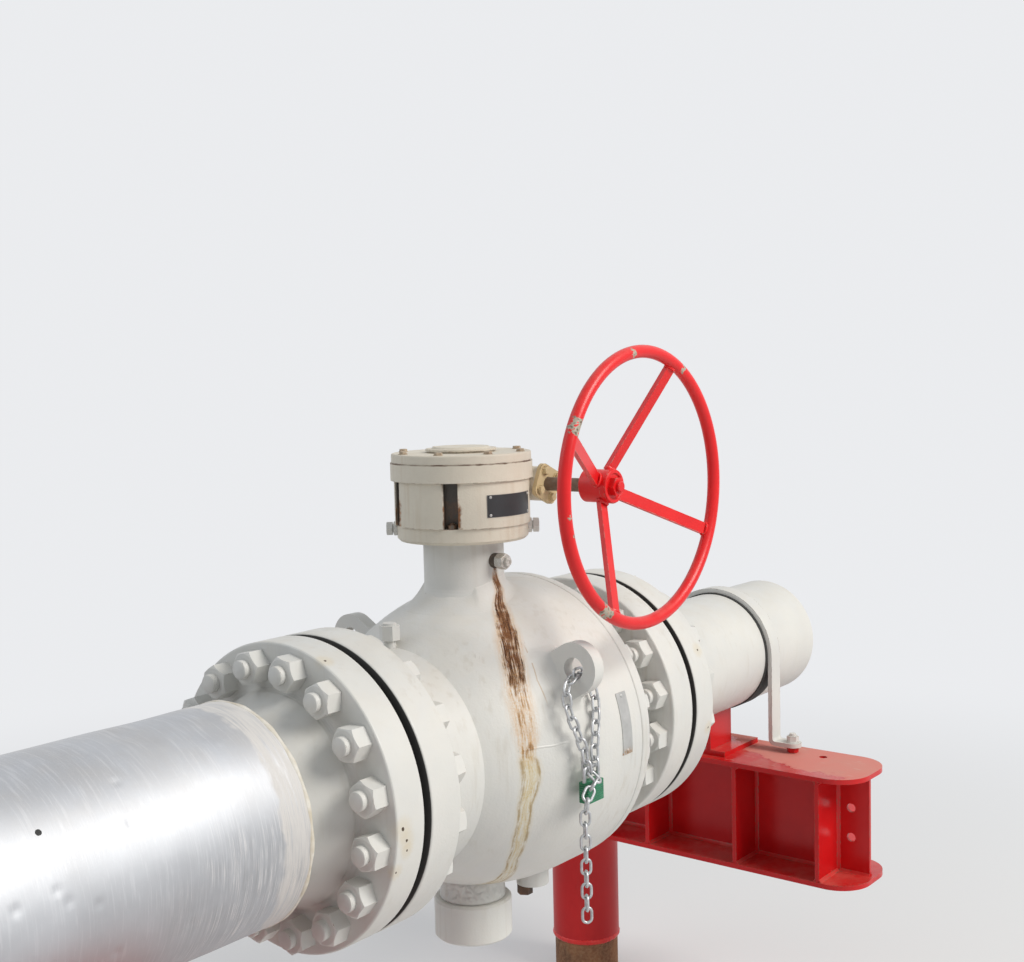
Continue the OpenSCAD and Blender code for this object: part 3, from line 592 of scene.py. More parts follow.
# Valve body and its closure: two steel castings, rough under the paint, with a machined joint
# between them. Rust has run from the sealant fitting down the neck and round the body's belly.
RUN_TOP, RUN_FOOT = 1.185, 0.580
RUN_SHIFT, RUN_WIDEN = 1.1, 10  # bring a place and a half width between 0 and 1 for the colour ramp
RUN_STATIONS = [  # height, middle along the pipe, half its width, how dark its core is, how strong its stain
    (1.180, -0.8838, 0.0040, 1.00, 0.80), (1.170, -0.8835, 0.0070, 1.00, 0.90),
    (1.139, -0.8810, 0.0130, 0.90, 0.90), (1.114, -0.9050, 0.0130, 1.00, 1.00),
    (1.091, -0.9330, 0.0165, 1.00, 1.00), (1.067, -0.9530, 0.0200, 0.95, 1.00),
    (1.043, -0.9700, 0.0192, 0.80, 1.00), (1.018, -0.9820, 0.0190, 0.64, 0.95),
    (0.992, -0.9925, 0.0200, 0.54, 0.90), (0.966, -0.9975, 0.0210, 0.46, 0.80),
    (0.939, -1.0025, 0.0205, 0.42, 0.70), (0.912, -1.0050, 0.0185, 0.42, 0.75),
    (0.897, -1.0070, 0.0150, 0.58, 1.00), (0.885, -1.0085, 0.0135, 0.48, 1.00),
    (0.876, -1.0060, 0.0170, 0.32, 0.90), (0.855, -1.0020, 0.0177, 0.28, 0.88),
    (0.797, -1.0087, 0.0125, 0.26, 0.86), (0.731, -0.9966, 0.0128, 0.26, 0.84),
    (0.685, -0.9830, 0.0095, 0.30, 0.84), (0.649, -0.9598, 0.0115, 0.36, 0.85),
    (0.615, -0.9400, 0.0150, 0.48, 0.85), (0.585, -0.9280, 0.0180, 0.40, 0.60)]


def rust_run(tree, colour):
    """The brown run below the sealant fitting: it follows the steepest way down the body."""
    place = object_place(tree)
    at = parts_of(place)
    down = add_node(tree, "MapRange", [("Value", at["Z"])], From_Min=RUN_TOP, From_Max=RUN_FOOT)
    track = add_node(tree, "ValToRGB", [(0, down.outputs[0])])
    while len(track.color_ramp.elements) < len(RUN_STATIONS):
        track.color_ramp.elements.new(0.5)
    for element, (height, middle, half, core, stain) in zip(track.color_ramp.elements, RUN_STATIONS):
        element.position = (RUN_TOP - height) / (RUN_TOP - RUN_FOOT)
        element.color = (middle + RUN_SHIFT, half * RUN_WIDEN, core, stain)
    parts = add_node(tree, "SeparateColor", [("Color", track.outputs["Color"])]).outputs
    ragged = cloud_over(place, 18.0, 5.0, 0.55)
    shifted = calc("ADD", at["X"], RUN_SHIFT - 0.0035)
    shifted = calc("ADD", shifted, mult(ragged, 0.007))
    across = calc("SUBTRACT", shifted, parts["Red"])
    off = calc("DIVIDE", calc("ABSOLUTE", across), mult(parts["Green"], 1 / RUN_WIDEN))
    thread = add_node(tree, "CombineXYZ", [("X", mult(across, 300.0)), ("Y", mult(at["Z"], 26.0))])
    strands = cloud_over(thread.outputs[0], 1.0, 7.0, 0.74)
    clumps = cloud_over(place, 75.0, 3.0)
    specks = cloud_over(place, 330.0, 3.0)
    inside = mult(fade(at["Y"], -0.41, -0.43), mult(fade(at["Z"], 0.582, 0.60), fade(at["Z"], 1.183, 1.178)))
    grains = fade(specks, 0.36, 0.66)
    wash = mult(fade(off, 1.55, 0.35), calc("ADD", mult(fade(strands, 0.34, 0.58), 0.75), mult(grains, 0.35)))
    wash = mult(wash, mult(track.outputs["Alpha"], inside))
    pale = mix_colour(fade(strands, 0.42, 0.60), (0.66, 0.57, 0.36), (0.56, 0.42, 0.17))
    ochre = mix_colour(fade(at["Z"], 0.915, 0.855), (0.57, 0.290, 0.058), pale)
    colour = mix_colour(mult(wash, 0.9, clamp=True), colour, ochre)
    body = calc("ADD", mult(strands, 0.72), mult(clumps, 0.28))
    rim_of_run = calc("ABSOLUTE", calc("SUBTRACT", off, 0.78))
    rim_line = mult(fade(rim_of_run, 0.34, 0.02), fade(at["Z"], 0.885, 0.875))
    rim_line = mult(mult(rim_line, inside), fade(body, 0.40, 0.56))
    colour = mix_colour(mult(rim_line, 0.75), colour, (0.33, 0.22, 0.09))
    level = calc("MAXIMUM", 0.36, calc("SUBTRACT", 0.79, mult(parts["Blue"], 0.65)))
    level = calc("ADD", level, mult(fade(off, 0.45, 1.25), 0.26))
    core = mult(calc("SUBTRACT", body, level), 7.0, clamp=True)
    core = mult(core, inside)
    dark = mix_colour(fade(strands, 0.40, 0.62), (0.21, 0.078, 0.022), (0.028, 0.011, 0.007))
    brown = mix_colour(mult(grains, 0.30), dark, (0.34, 0.15, 0.05))
    brown = mix_colour(mult(fade(at["Z"], 1.02, 0.95), 0.6), brown, (0.38, 0.190, 0.048))
    colour = mix_colour(core, colour, brown)
    branch = calc("ADD", at["X"], 0.9375)
    bend = mult(calc("MAXIMUM", calc("SUBTRACT", at["Z"], 1.003), 0.0), 0.30)
    branch = calc("ABSOLUTE", calc("SUBTRACT", calc("ADD", branch, 0.0145), bend))
    branch = calc("ADD", branch, mult(specks, 0.0012))
    ends = mult(fade(at["Z"], 0.955, 0.985), fade(at["Z"], 1.062, 1.045))
    branch = mult(fade(branch, 0.0024, 0.0010), mult(ends, inside))
    return mix_colour(mult(branch, 0.6), colour, (0.42, 0.25, 0.11))


VALVE_GREY = grey_paint_finish("valve_grey", grain=240.0, waves=22.0, depth_mm=0.6, stain=0.22, rust_paths=(rust_run,))
CASTING_GREY = grey_paint_finish("casting_grey", grain=240.0, waves=22.0, depth_mm=0.6, stain=0.2)
dress(VALVE_GREY, "valve_body", "stem_neck")
dress(CASTING_GREY, "end_piece", "valve_foot")
BODY_R, BARREL_START, BODY_REACH = 284, 80, 381


def body_radius(x):
    """The body's outside: a round barrel that draws in towards the left flange."""
    return BODY_R * sqrt(1 - max(0, (BARREL_START - x) / BODY_REACH) ** 2)


# Lug blends: the two lifting ears are cast in one with the body, and run into it with a wide
# hollow fillet on every side.
LUG_X, LUG_HALF_T, LUG_HALF_W, LUG_TILT = -20, 13, 46, radians(31)


def lug_blend(bm, side):
    outward = Vector((0, side * cos(LUG_TILT), sin(LUG_TILT)))
    tangent = Vector((0, -side * sin(LUG_TILT), cos(LUG_TILT)))
    outline = []
    for corner, (su, sv) in enumerate(((1, -1), (1, 1), (-1, 1), (-1, -1))):
        for step in range(9):
            turn = radians(-90 + corner * 90 + step * 90 / 8)
            outline.append((su * (LUG_HALF_T - 2), sv * (LUG_HALF_W - 2), cos(turn), sin(turn)))
    rings = []
    for step in range(11):
        lean = radians(step * 9)
        ring = []
        for u, v, cu, cv in outline:
            reach = 24 + 16 * max(0, -cu)
            off = 1 + reach * (1 - sin(lean))
            lift = (26 - 7 * abs(cu)) * (1 - cos(lean)) - 0.5
            x, across = LUG_X + u + off * cu, v + off * cv
            height = sqrt(body_radius(x) ** 2 - across ** 2) + lift
            at = outward * height + tangent * across
            ring.append(stem(x, at.y, at.z))
        rings.append(ring)
    skin_rings(bm, rings, caps=False)


blends = bmesh.new()
for side in (-1, 1):
    lug_blend(blends, side)
make_piece("lug_blends", blends, CASTING_GREY, smooth_below=70)


# Foot cap: the round boss between the body and its foot is wrapped in thick paint and mastic that
# has sagged into folds on its left side.
FOOT_TOP_Z, FOOT_CAP_R, FOOT_SHOULDER_R = -306, 61, 16
profile = [(FOOT_CAP_R - 4, FOOT_TOP_Z + 0.5), (FOOT_CAP_R + 0.5, FOOT_TOP_Z + 0.5),
           (FOOT_CAP_R + 1.5, FOOT_TOP_Z + 2.5), (FOOT_CAP_R + 0.6, FOOT_TOP_Z + 5)]
profile += [(FOOT_CAP_R, FOOT_TOP_Z + 5 + 29 * i / 14) for i in range(1, 15)]
profile += [(FOOT_CAP_R - FOOT_SHOULDER_R + FOOT_SHOULDER_R * cos(radians(9 * i)),
             FOOT_TOP_Z + 34 + FOOT_SHOULDER_R * sin(radians(9 * i))) for i in range(1, 11)]
boot = bmesh.new()
rings = []
for radius, z in profile:
    ring = []
    for i in range(160):
        turn = 2 * pi * i / 160
        sagging = 0.35 + 0.65 * max(0, cos(turn - radians(205))) ** 2
        ridge = noise.noise(Vector((cos(turn) * 5 + z * 0.05, sin(turn) * 5, z * 0.06)))
        small = noise.noise(Vector((cos(turn) * 13, sin(turn) * 13 + z * 0.12, z * 0.09)))
        held = min(1, max(0, z - FOOT_TOP_Z - 4) / 6)
        press = held * sagging * (3.2 * max(0, 1 - abs(ridge) * 7) + 1.4 * max(0, 1 - abs(small) * 6) - 1.2
                                  * abs(ridge))
        ring.append(stem((radius - press) * cos(turn), (radius - press) * sin(turn), z))
    rings.append(ring)
skin_rings(boot, rings)
foot_boot = make_piece("foot_cap_mastic", boot, CASTING_GREY, smooth_below=80)
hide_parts("foot_cap")


# Neck fillet: the neck is welded into the body, and the weld is dressed to a hollow curve all
# round. A raised line on the belly is where the two halves of the casting mould met.
NECK_R, FLARE_R, FLARE_TOP, SKIRT_SLOPE = 74.5, 40, 290, radians(42)
FILLET_REACH = 21


def neck_height(radius):
    """The height of the neck's flared foot at a radius: a hollow arc, then a cone."""
    foot_r = NECK_R + FLARE_R * (1 - sin(SKIRT_SLOPE + pi / 2 - SKIRT_SLOPE * 2))
    if radius < foot_r:
        return FLARE_TOP - sqrt(max(0, FLARE_R ** 2 - (NECK_R + FLARE_R - radius) ** 2))
    foot_z = FLARE_TOP - sqrt(FLARE_R ** 2 - (NECK_R + FLARE_R - foot_r) ** 2)
    return foot_z - (radius - foot_r) * tan(SKIRT_SLOPE)


def body_height(x, y):
    return sqrt(body_radius(x) ** 2 - y * y)


fillet = bmesh.new()
rings = []
for i in range(144):
    turn = 2 * pi * i / 144
    way = Vector((cos(turn), sin(turn), 0))
    low, high = NECK_R + 0.01, 150.0
    for _ in range(40):
        radius = (low + high) / 2
        if neck_height(radius) > body_height(way.x * radius, way.y * radius):
            low = radius
        else:
            high = radius
    reach = FILLET_REACH * (1 + 0.10 * noise.noise(way * 2.5))
    inner_r = max(NECK_R, low - reach)
    inner_z = neck_height(inner_r) if low - reach > NECK_R else neck_height(NECK_R) + (NECK_R - low + reach)
    ends = (way * inner_r + Vector((0, 0, inner_z)), way * low + Vector((0, 0, neck_height(low))),
            way * (low + reach) + Vector((0, 0, body_height(way.x * (low + reach), way.y * (low + reach)))))
    ring = [stem(*(ends[1] - Vector((0, 0, 3)) - way * 3))]
    for step in range(13):
        t = step / 12
        at = ends[0] * (1 - t) ** 2 + ends[1] * 2 * t * (1 - t) + ends[2] * t * t
        sink = 0.5 * (2 * t - 1) ** 8
        ring.append(stem(at.x - way.x * sink, at.y - way.y * sink, at.z - sink))
    rings.append(ring)
skin_rings(fillet, rings, loop=True)
make_piece("neck_fillet", fillet, VALVE_GREY, smooth_below=70)
mould_line = bmesh.new()
rings = []
for i in range(41):
    x = -140 + 100 * i / 40
    fading = min(1, i / 8, (40 - i) / 8)
    ring = []
    for up, lift in ((-2.6, -0.5), (-1.0, 0.9), (1.0, 1.1), (2.6, -0.5)):
        z = 36 + up + 1.5 * noise.noise(Vector((x / 30, 0, 0)))
        ring.append(stem(x, -sqrt((body_radius(x) + lift * fading - 0.1) ** 2 - z * z), z))
    rings.append(ring)
skin_rings(mould_line, rings)
make_piece("mould_line", mould_line, VALVE_GREY, smooth_below=70)


# Flange studs and nuts: sixteen threaded 1 1/4 inch studs hold each pair of flanges, with a heavy
# hexagon nut at both ends. They were painted with the flanges, so the threads are half filled.
STUDS, FIRST_STUD_TURN = 16, 11.25
STUD_R = 15.9
STUD_PITCH = 3.175
THREAD_DEPTH = 0.9
STUD_CIRCLE_R = 215.9
NUT_ACROSS = 50.8
NUT_H = 31
FLANGE_OUTER_X = 466.4
FLANGE_INNER_X = 317.1
STUD_OVER_OUT, STUD_OVER_IN = 12, 11
NUT_TURNS = (4, 19, 33, 11, 48, 27, 2, 39, 15, 52, 8, 30, 44, 22, 57, 36)


def add_stud(bm, start, axis, length, radius, pitch, depth, threads, count=24):
    """A stud along its axis in millimetres. Threads lists the stretches cut with a real helix."""
    axis = Vector(axis).normalized()
    first, second = side_ways(axis)
    stations = [0.0, 1.2]
    for low, high in threads:
        turns = int((high - low) / (pitch / 4))
        stations += [low + (high - low) * i / turns for i in range(turns + 1)]
    stations = sorted(set(round(s, 3) for s in stations + [length - 1.2, length]))
    rings = []
    for along in stations:
        end = min(along, length - along)
        ring = []
        for i in range(count):
            angle = 2 * pi * i / count
            phase = (along / pitch - i / count) % 1
            cut = depth * (1 - abs(2 * phase - 1))
            cut = max(cut, 1.6 - end) if end < 1.6 else cut
            out = (first * cos(angle) + second * sin(angle)) * (radius - cut)
            ring.append(Vector(start) + (out + axis * along) / 1000)
        rings.append(ring)
    skin_rings(bm, rings)


def add_nut(bm, centre, axis, across, height, bore_r, turn, both_ends=False, count=36):
    """A hexagon nut whose corners are turned off at 30 degrees."""
    axis = Vector(axis).normalized()
    first, second = side_ways(axis)
    face_r = across / 2 * 0.95
    profiles = []
    for i in range(count):
        angle = 2 * pi * i / count
        corner = across / 2 / cos((angle % (pi / 3)) - pi / 6)
        drop = (corner - face_r) * tan(radians(30))
        low = drop if both_ends else 0
        base_r = face_r if both_ends else corner
        profiles.append(((bore_r, 0), (base_r, 0), (corner, low), (corner, height - drop), (face_r, height),
                         (bore_r, height)))
    rings = []
    for step in range(6):
        ring = []
        for i in range(count):
            angle = 2 * pi * i / count + turn
            radius, along = profiles[i][step]
            out = first * cos(angle) + second * sin(angle)
            ring.append(Vector(centre) + (out * radius + axis * along) / 1000)
        rings.append(ring)
    skin_rings(bm, rings, loop=True)


NUT_GREY = grey_paint_finish("nut_grey", grain=500.0, waves=90.0, depth_mm=0.3, stain=0.05, chip_share=0.22)
for name, side in (("left", -1), ("right", 1)):
    studs, nuts = bmesh.new(), bmesh.new()
    outer = side * (FLANGE_OUTER_X + NUT_H + STUD_OVER_OUT)
    inner = side * (FLANGE_INNER_X - NUT_H - STUD_OVER_IN)
    length = abs(outer - inner)
    gap_at = length - (abs(outer) - 403)
    for k in range(STUDS):
        angle = radians(FIRST_STUD_TURN + 360 / STUDS * k)
        y, z = STUD_CIRCLE_R * cos(angle), STUD_CIRCLE_R * sin(angle)
        add_stud(studs, stem(inner, y, z), (side, 0, 0), length, STUD_R, STUD_PITCH, THREAD_DEPTH,
                 ((0, 12), (gap_at - 17, gap_at + 1), (length - 9, length)))
        turn = radians(NUT_TURNS[k])
        add_nut(nuts, stem(side * FLANGE_OUTER_X, y, z), (side, 0, 0), NUT_ACROSS, NUT_H, STUD_R - 1, turn)
        add_nut(nuts, stem(side * FLANGE_INNER_X, y, z), (-side, 0, 0), NUT_ACROSS, NUT_H, STUD_R - 1, turn * 1.7)
    make_piece(name + "_flange_studs", studs, NUT_GREY, smooth_below=50)
    make_piece(name + "_flange_nuts", nuts, NUT_GREY, smooth_below=28)


# Closure nuts: sixteen 1 inch studs screwed into the body hold the closure flange, and their
# nuts stand on its face towards the bare pipe.
CLOSURE_FACE_X = 204
CLOSURE_CIRCLE_R = 238
CLOSURE_NUT_ACROSS = 41.3
CLOSURE_NUT_H = 25
CLOSURE_STUD_R = 12.7
studs, nuts = bmesh.new(), bmesh.new()
for k in range(STUDS):
    angle = radians(FIRST_STUD_TURN + 360 / STUDS * k)
    y, z = CLOSURE_CIRCLE_R * cos(angle), CLOSURE_CIRCLE_R * sin(angle)
    add_stud(studs, stem(CLOSURE_FACE_X - 5, y, z), (1, 0, 0), CLOSURE_NUT_H + 11, CLOSURE_STUD_R, STUD_PITCH, 0.8,
             ((CLOSURE_NUT_H + 3, CLOSURE_NUT_H + 11),))
    add_nut(nuts, stem(CLOSURE_FACE_X, y, z), (1, 0, 0), CLOSURE_NUT_ACROSS, CLOSURE_NUT_H, CLOSURE_STUD_R - 1,
            radians(NUT_TURNS[-1 - k]))
make_piece("closure_studs", studs, NUT_GREY, smooth_below=50)
make_piece("closure_nuts", nuts, NUT_GREY, smooth_below=28)


# Body plate: a thin steel plate, riveted to the barrel at its two ends and left bare. Rust has
# started at its lower end.
def plate_finish(name, base, rust_below=None):
    material, tree, shader = new_finish(name)
    patches = place_group(tree, BLOTCHES, Scale=40.0)
    edges = place_group(tree, EDGES, Reach=0.0015, Chip_Scale=180.0, Chip_Share=0.3)
    colour = mix_colour(mult(patches["Large"], 0.6), base, tuple(c * 0.72 for c in base))
    colour = mix_colour(mult(edges["Edge"], 0.5), colour, (0.55, 0.54, 0.5))
    if rust_below:
        place = object_place(tree)
        at = parts_of(place)
        low = mult(fade(at["Z"], rust_below + 0.016, rust_below), fade(patches["Fine"], 0.2, 0.8))
        colour = mix_colour(low, colour, (0.36, 0.19, 0.06))
    coat(shader, colour, Metallic=0.35, Roughness=0.42)
    return material


def wrapped_plate(bm, at, half_u, z_low, z_high, thick, steps=14):
    """A plate bent to a round surface. At gives its point for (u, z, lift)."""
    grid = {}
    for lift in (0, thick):
        for i in range(steps + 1):
            for j in range(steps + 1):
                u = -half_u + 2 * half_u * i / steps
                z = z_low + (z_high - z_low) * j / steps
                grid[(lift, i, j)] = bm.verts.new(at(u, z, lift))
    for i in range(steps):
        for j in range(steps):
            for lift in (0, thick):
                corners = [grid[(lift, i, j)], grid[(lift, i + 1, j)], grid[(lift, i + 1, j + 1)],
                           grid[(lift, i, j + 1)]]
                bm.faces.new(corners if lift else corners[::-1])
    rim = [(i, 0) for i in range(steps)] + [(steps, j) for j in range(steps)]
    rim += [(steps - i, steps) for i in range(steps)] + [(0, steps - j) for j in range(steps)]
    for (a, b), (c, d) in zip(rim, rim[1:] + rim[:1]):
        bm.faces.new((grid[(0, a, b)], grid[(0, c, d)], grid[(thick, c, d)], grid[(thick, a, b)]))


BODY_PLATE_X = 109
plate = bmesh.new()
wrapped_plate(plate, lambda u, z, lift: stem(BODY_PLATE_X + u, -sqrt((BODY_R + lift - 0.2) ** 2 - z * z), z), 15, -18,
              93, 1.4)
BODY_PLATE = plate_finish("body_plate_steel", (0.50, 0.50, 0.49), rust_below=0.842)
make_piece("body_plate", plate, BODY_PLATE)
rivets = bmesh.new()
for z in (-12, 87):
    out = Vector((0, -sqrt(BODY_R ** 2 - z * z), z)).normalized()
    seat = stem(BODY_PLATE_X, out.y * (BODY_R + 1), out.z * (BODY_R + 1))
    add_turned(rivets, seat, out, ((4, -1), (4, 0.6), (3.2, 1.5), (1.6, 2.1), (0.4, 2.3)), 16)
make_piece("body_plate_rivets", rivets, BODY_PLATE)


# Gearbox: a cast iron housing on a round mounting flange, with a bolted cover and an indicator
# cap. Its beige paint is older than the valve's, and rust creeps from each joint and edge.
POCKET_TURNS = (31, 149, 211, 329)


def pocket_group():
    """Painted shade inside the housing's bolt pockets, rust at their edges, and the thin dark line where its cover
    sits.
    """
    group, _, out = new_group("pocket_shade_and_rust", {}, ("Inside", "Rust", "Joint"))
    place = object_place(group)
    away = add_node(group, "VectorMath", [(0, place)], operation="SUBTRACT", i1=stem(0, 0, 0))
    at = parts_of(away.outputs[0])
    flat = calc("SQRT", calc("ADD", mult(at["X"], at["X"]), mult(at["Y"], at["Y"])))
    tall = mult(fade(at["Z"], 0.3995, 0.4005), fade(at["Z"], 0.483, 0.481))
    # Painted shade: 1 inside the bolt pockets, where the housing is cut back.
    inside = mult(fade(flat, 0.1244, 0.121), tall)
    group.links.new(inside, out.inputs["Inside"])
    cloud = cloud_over(place, 85.0, 5.0, 0.65)
    drawn = stretched(place, (1.0, 1.0, 0.25))
    dripping = cloud_over(drawn, 120.0, 3.0)
    rust = None
    for turn in POCKET_TURNS:
        side = radians(turn + 90)
        spot = add_node(group, "VectorMath", [(0, away.outputs[0])], operation="DOT_PRODUCT",
                        i1=(cos(side), sin(side), 0))
        front = add_node(group, "VectorMath", [(0, away.outputs[0])], operation="DOT_PRODUCT",
                         i1=(cos(side - pi / 2), sin(side - pi / 2), 0))
        across = spot.outputs["Value"]
        one = mult(fade(across, 0.030, 0.0135), fade(across, -0.020, -0.0125))
        one = mult(one, fade(front.outputs["Value"], 0.08, 0.10))
        rust = one if rust is None else calc("MAXIMUM", rust, one)
    low = fade(at["Z"], 0.476, 0.440)
    rust = mult(mult(rust, tall), low)
    both = calc("ADD", mult(cloud, 0.6), mult(dripping, 0.4))
    rust = mult(calc("SUBTRACT", calc("ADD", both, mult(rust, 0.22)), 0.63), mult(rust, 9.0), clamp=True)
    rust = mult(rust, calc("SUBTRACT", 1.0, mult(inside, 0.75)))
    group.links.new(rust, out.inputs["Rust"])
    off = calc("ABSOLUTE", calc("SUBTRACT", at["Z"], 0.514))
    joint = mult(fade(calc("SUBTRACT", off, mult(cloud, 0.0034)), 0.0002, -0.0012), fade(flat, 0.125, 0.127))
    patchy = cloud_over(place, 24.0, 3.0)
    joint = mult(joint, calc("ADD", 0.35, mult(fade(patchy, 0.42, 0.56), 0.65)))
    group.links.new(joint, out.inputs["Joint"])
    return group


POCKETS = pocket_group()


def gearbox_finish(name, base, rust_share):
    material, tree, shader = new_finish(name)
    patches = place_group(tree, BLOTCHES, Scale=9.0)
    edges = place_group(tree, EDGES, Reach=0.003, Chip_Scale=45.0, Chip_Share=0.30)
    dust = place_group(tree, DUST, Scale=16.0)
    pockets = place_group(tree, POCKETS)
    colour = mix_colour(mult(patches["Large"], 0.7), base, tuple(c * f for c, f in zip(base, (0.90, 0.89, 0.88))))
    colour = mix_colour(mult(patches["Fine"], 0.12), colour, tuple(c * f for c, f in zip(base, (1.12, 1.14, 1.18))))
    colour = mix_colour(mult(dust["Dust"], 0.35), colour, (0.56, 0.48, 0.36))
    colour = mix_colour(mult(dust["Runs"], 0.22), colour, (0.45, 0.31, 0.17))
    stained = mult(edges["Edge"], fade(patches["Fine"], 0.45, 1.0))
    colour = mix_colour(mult(stained, rust_share), colour, (0.36, 0.17, 0.06))
    colour = mix_colour(pockets["Joint"], colour, (0.12, 0.068, 0.036))
    # Painted shade: the insides of the bolt pockets go nearly black.
    colour = mix_colour(mult(pockets["Inside"], 0.90), colour, (0.030, 0.025, 0.021))
    colour = mix_colour(pockets["Rust"], colour, mix_colour(patches["Fine"], (0.40, 0.16, 0.035),
                                                            (0.13, 0.055, 0.025)))
    colour = mix_colour(edges["Chips"], colour, (0.14, 0.07, 0.04))
    coat(shader, colour, Roughness=0.52)
    roughen(shader, 300.0, 35.0, 0.7)
    return material


GEAR_BEIGE = gearbox_finish("gear_beige", (0.69, 0.635, 0.53), 0.5)
COVER_BEIGE = gearbox_finish("worm_cover_beige", (0.66, 0.53, 0.30), 0.7)
dress(GEAR_BEIGE, "gearbox_mount", "gearbox_housing", "gearbox_cover", "indicator_cap")
dress(COVER_BEIGE, "worm_cover_near", "worm_cover_far")
COVER_TOP = 531
COVER_BOLT_R = 115
COVER_BOLT_FIRST = 20
bolts = bmesh.new()
for k in range(8):
    angle = radians(COVER_BOLT_FIRST + 45 * k)
    seat = stem(COVER_BOLT_R * cos(angle), COVER_BOLT_R * sin(angle), COVER_TOP)
    add_turned(bolts, seat, (0, 0, 1), ((8.5, -0.5), (8.5, 1.2), (0.5, 1.2)), 24)
    add_nut(bolts, seat + Vector((0, 0, 0.0012)), (0, 0, 1), 13, 4.2, 0.4, radians(NUT_TURNS[k]))
GEAR_BOLTS = gearbox_finish("gear_bolts", (0.46, 0.37, 0.27), 0.9)
make_piece("gearbox_cover_bolts", bolts, GEAR_BOLTS, smooth_below=28)
MOUNT_TOP = 400
nuts = bmesh.new()
for angle in POCKET_TURNS:
    seat = stem(113.5 * cos(radians(angle)), 113.5 * sin(radians(angle)), MOUNT_TOP)
    add_nut(nuts, seat, (0, 0, 1), 16, 8, 4.5, radians(angle))
    add_turned(nuts, seat, (0, 0, 1), ((5, 1), (5, 10), (4, 11)), 20)
make_piece("gearbox_base_nuts", nuts, GEAR_BOLTS, smooth_below=28)
WORM_X, WORM_Z, WORM_FACE = 105, 467, 120
bolts = bmesh.new()
for side in (-1, 1):
    for turn in (20, 110, 200, 290):
        x = WORM_X + 26.9 * cos(radians(turn))
        z = WORM_Z + 26.9 * sin(radians(turn))
        seat = stem(x, side * WORM_FACE, z)
        add_turned(bolts, seat, (0, side, 0), ((9, -0.5), (9, 1.5), (0.5, 1.5)), 24)
        add_nut(bolts, seat + Vector((0, side * 0.0015, 0)), (0, side, 0), 13, 6, 0.4, radians(turn / 3))
make_piece("worm_cover_bolts", bolts, COVER_BEIGE, smooth_below=28)
screws = bmesh.new()
for turn in (-50, 130):
    out = Vector((cos(radians(turn)), sin(radians(turn)), 0))
    seat = stem(out.x * 119, out.y * 119, 392)
    add_turned(screws, seat, out, ((8, 0), (8, 14)), 20)
    add_nut(screws, seat + out * 0.001, out, 24, 8, 7, 0.3, both_ends=True)
    add_nut(screws, seat + out * 0.011, out, 24, 11, 0.5, 0.1)
make_piece("stop_screws", screws, NUT_GREY, smooth_below=28)


# Gearbox plate: a thin dark plate bent to the housing and held by four small rivets. It is bare.
DRUM_R = 125
plate = bmesh.new()
wrapped_plate(plate, lambda u, z, lift: stem((DRUM_R + lift - 0.2) * cos(radians(-93 + u)),
                                             (DRUM_R + lift - 0.2) * sin(radians(-93 + u)), z), 26, 419, 459, 1.2)
GEAR_PLATE = plate_finish("gear_plate_dark", (0.045, 0.045, 0.048))
make_piece("gearbox_plate", plate, GEAR_PLATE)
rivets = bmesh.new()
for turn in (-116, -70):
    for z in (423, 455):
        out = Vector((cos(radians(turn)), sin(radians(turn)), 0))
        seat = stem(out.x * (DRUM_R + 0.8), out.y * (DRUM_R + 0.8), z)
        add_turned(rivets, seat, out, ((2.6, -1), (2.6, 0.5), (1.8, 1.3), (0.3, 1.6)), 14)
make_piece("gearbox_plate_rivets", rivets, BODY_PLATE)


# Handwheel: a rim of bent tube and four flat spokes, welded to each other and to a steel hub that
# a nut holds on the worm shaft. Hands and tools have chipped its bright red paint on the rim.
WHEEL = (WORM_X, -332, WORM_Z)
RIM_R = 238.5
RIM_TUBE_R = 11.5
WHEEL_CHIPS = ((151, 22), (-123.8, 22), (187, 8), (195, 7), (60, 12), (100, 12))


def wheel_red_finish():
    material, tree, shader = new_finish("wheel_red")
    patches = place_group(tree, BLOTCHES, Scale=16.0)
    edges = place_group(tree, EDGES, Reach=0.0022, Chip_Scale=95.0, Chip_Share=0.30)
    dust = place_group(tree, DUST, Scale=30.0)
    place = object_place(tree)
    colour = mix_colour(patches["Large"], (0.68, 0.008, 0.010), (0.76, 0.012, 0.013))
    colour = mix_colour(mult(dust["Dust"], 0.30), colour, (0.80, 0.16, 0.13))
    small = cloud_over(place, 120.0, 4.0)
    worn = None
    for turn, reach in WHEEL_CHIPS:
        spot = stem(WHEEL[0] + RIM_R * cos(radians(turn)), WHEEL[1] - RIM_TUBE_R * 0.6,
                    WHEEL[2] + RIM_R * sin(radians(turn)))
        far = add_node(tree, "VectorMath", [(0, place)], operation="DISTANCE", i1=spot)
        near = fade(far.outputs["Value"], reach / 1000, reach / 2200)
        worn = near if worn is None else calc("MAXIMUM", worn, near)
    bare = fade(calc("ADD", mult(worn, 0.22), small), 0.62, 0.65)
    bare = mult(bare, fade(worn, 0.02, 0.2))
    colour = mix_colour(bare, colour, mix_colour(fade(small, 0.5, 0.72), (0.42, 0.38, 0.30), (0.12, 0.07, 0.04)))
    colour = mix_colour(edges["Chips"], colour, (0.40, 0.34, 0.27))
    coat(shader, colour, Roughness=0.33, Specular_IOR_Level=0.4)
    roughen(shader, 350.0, 70.0, 0.35)
    return material


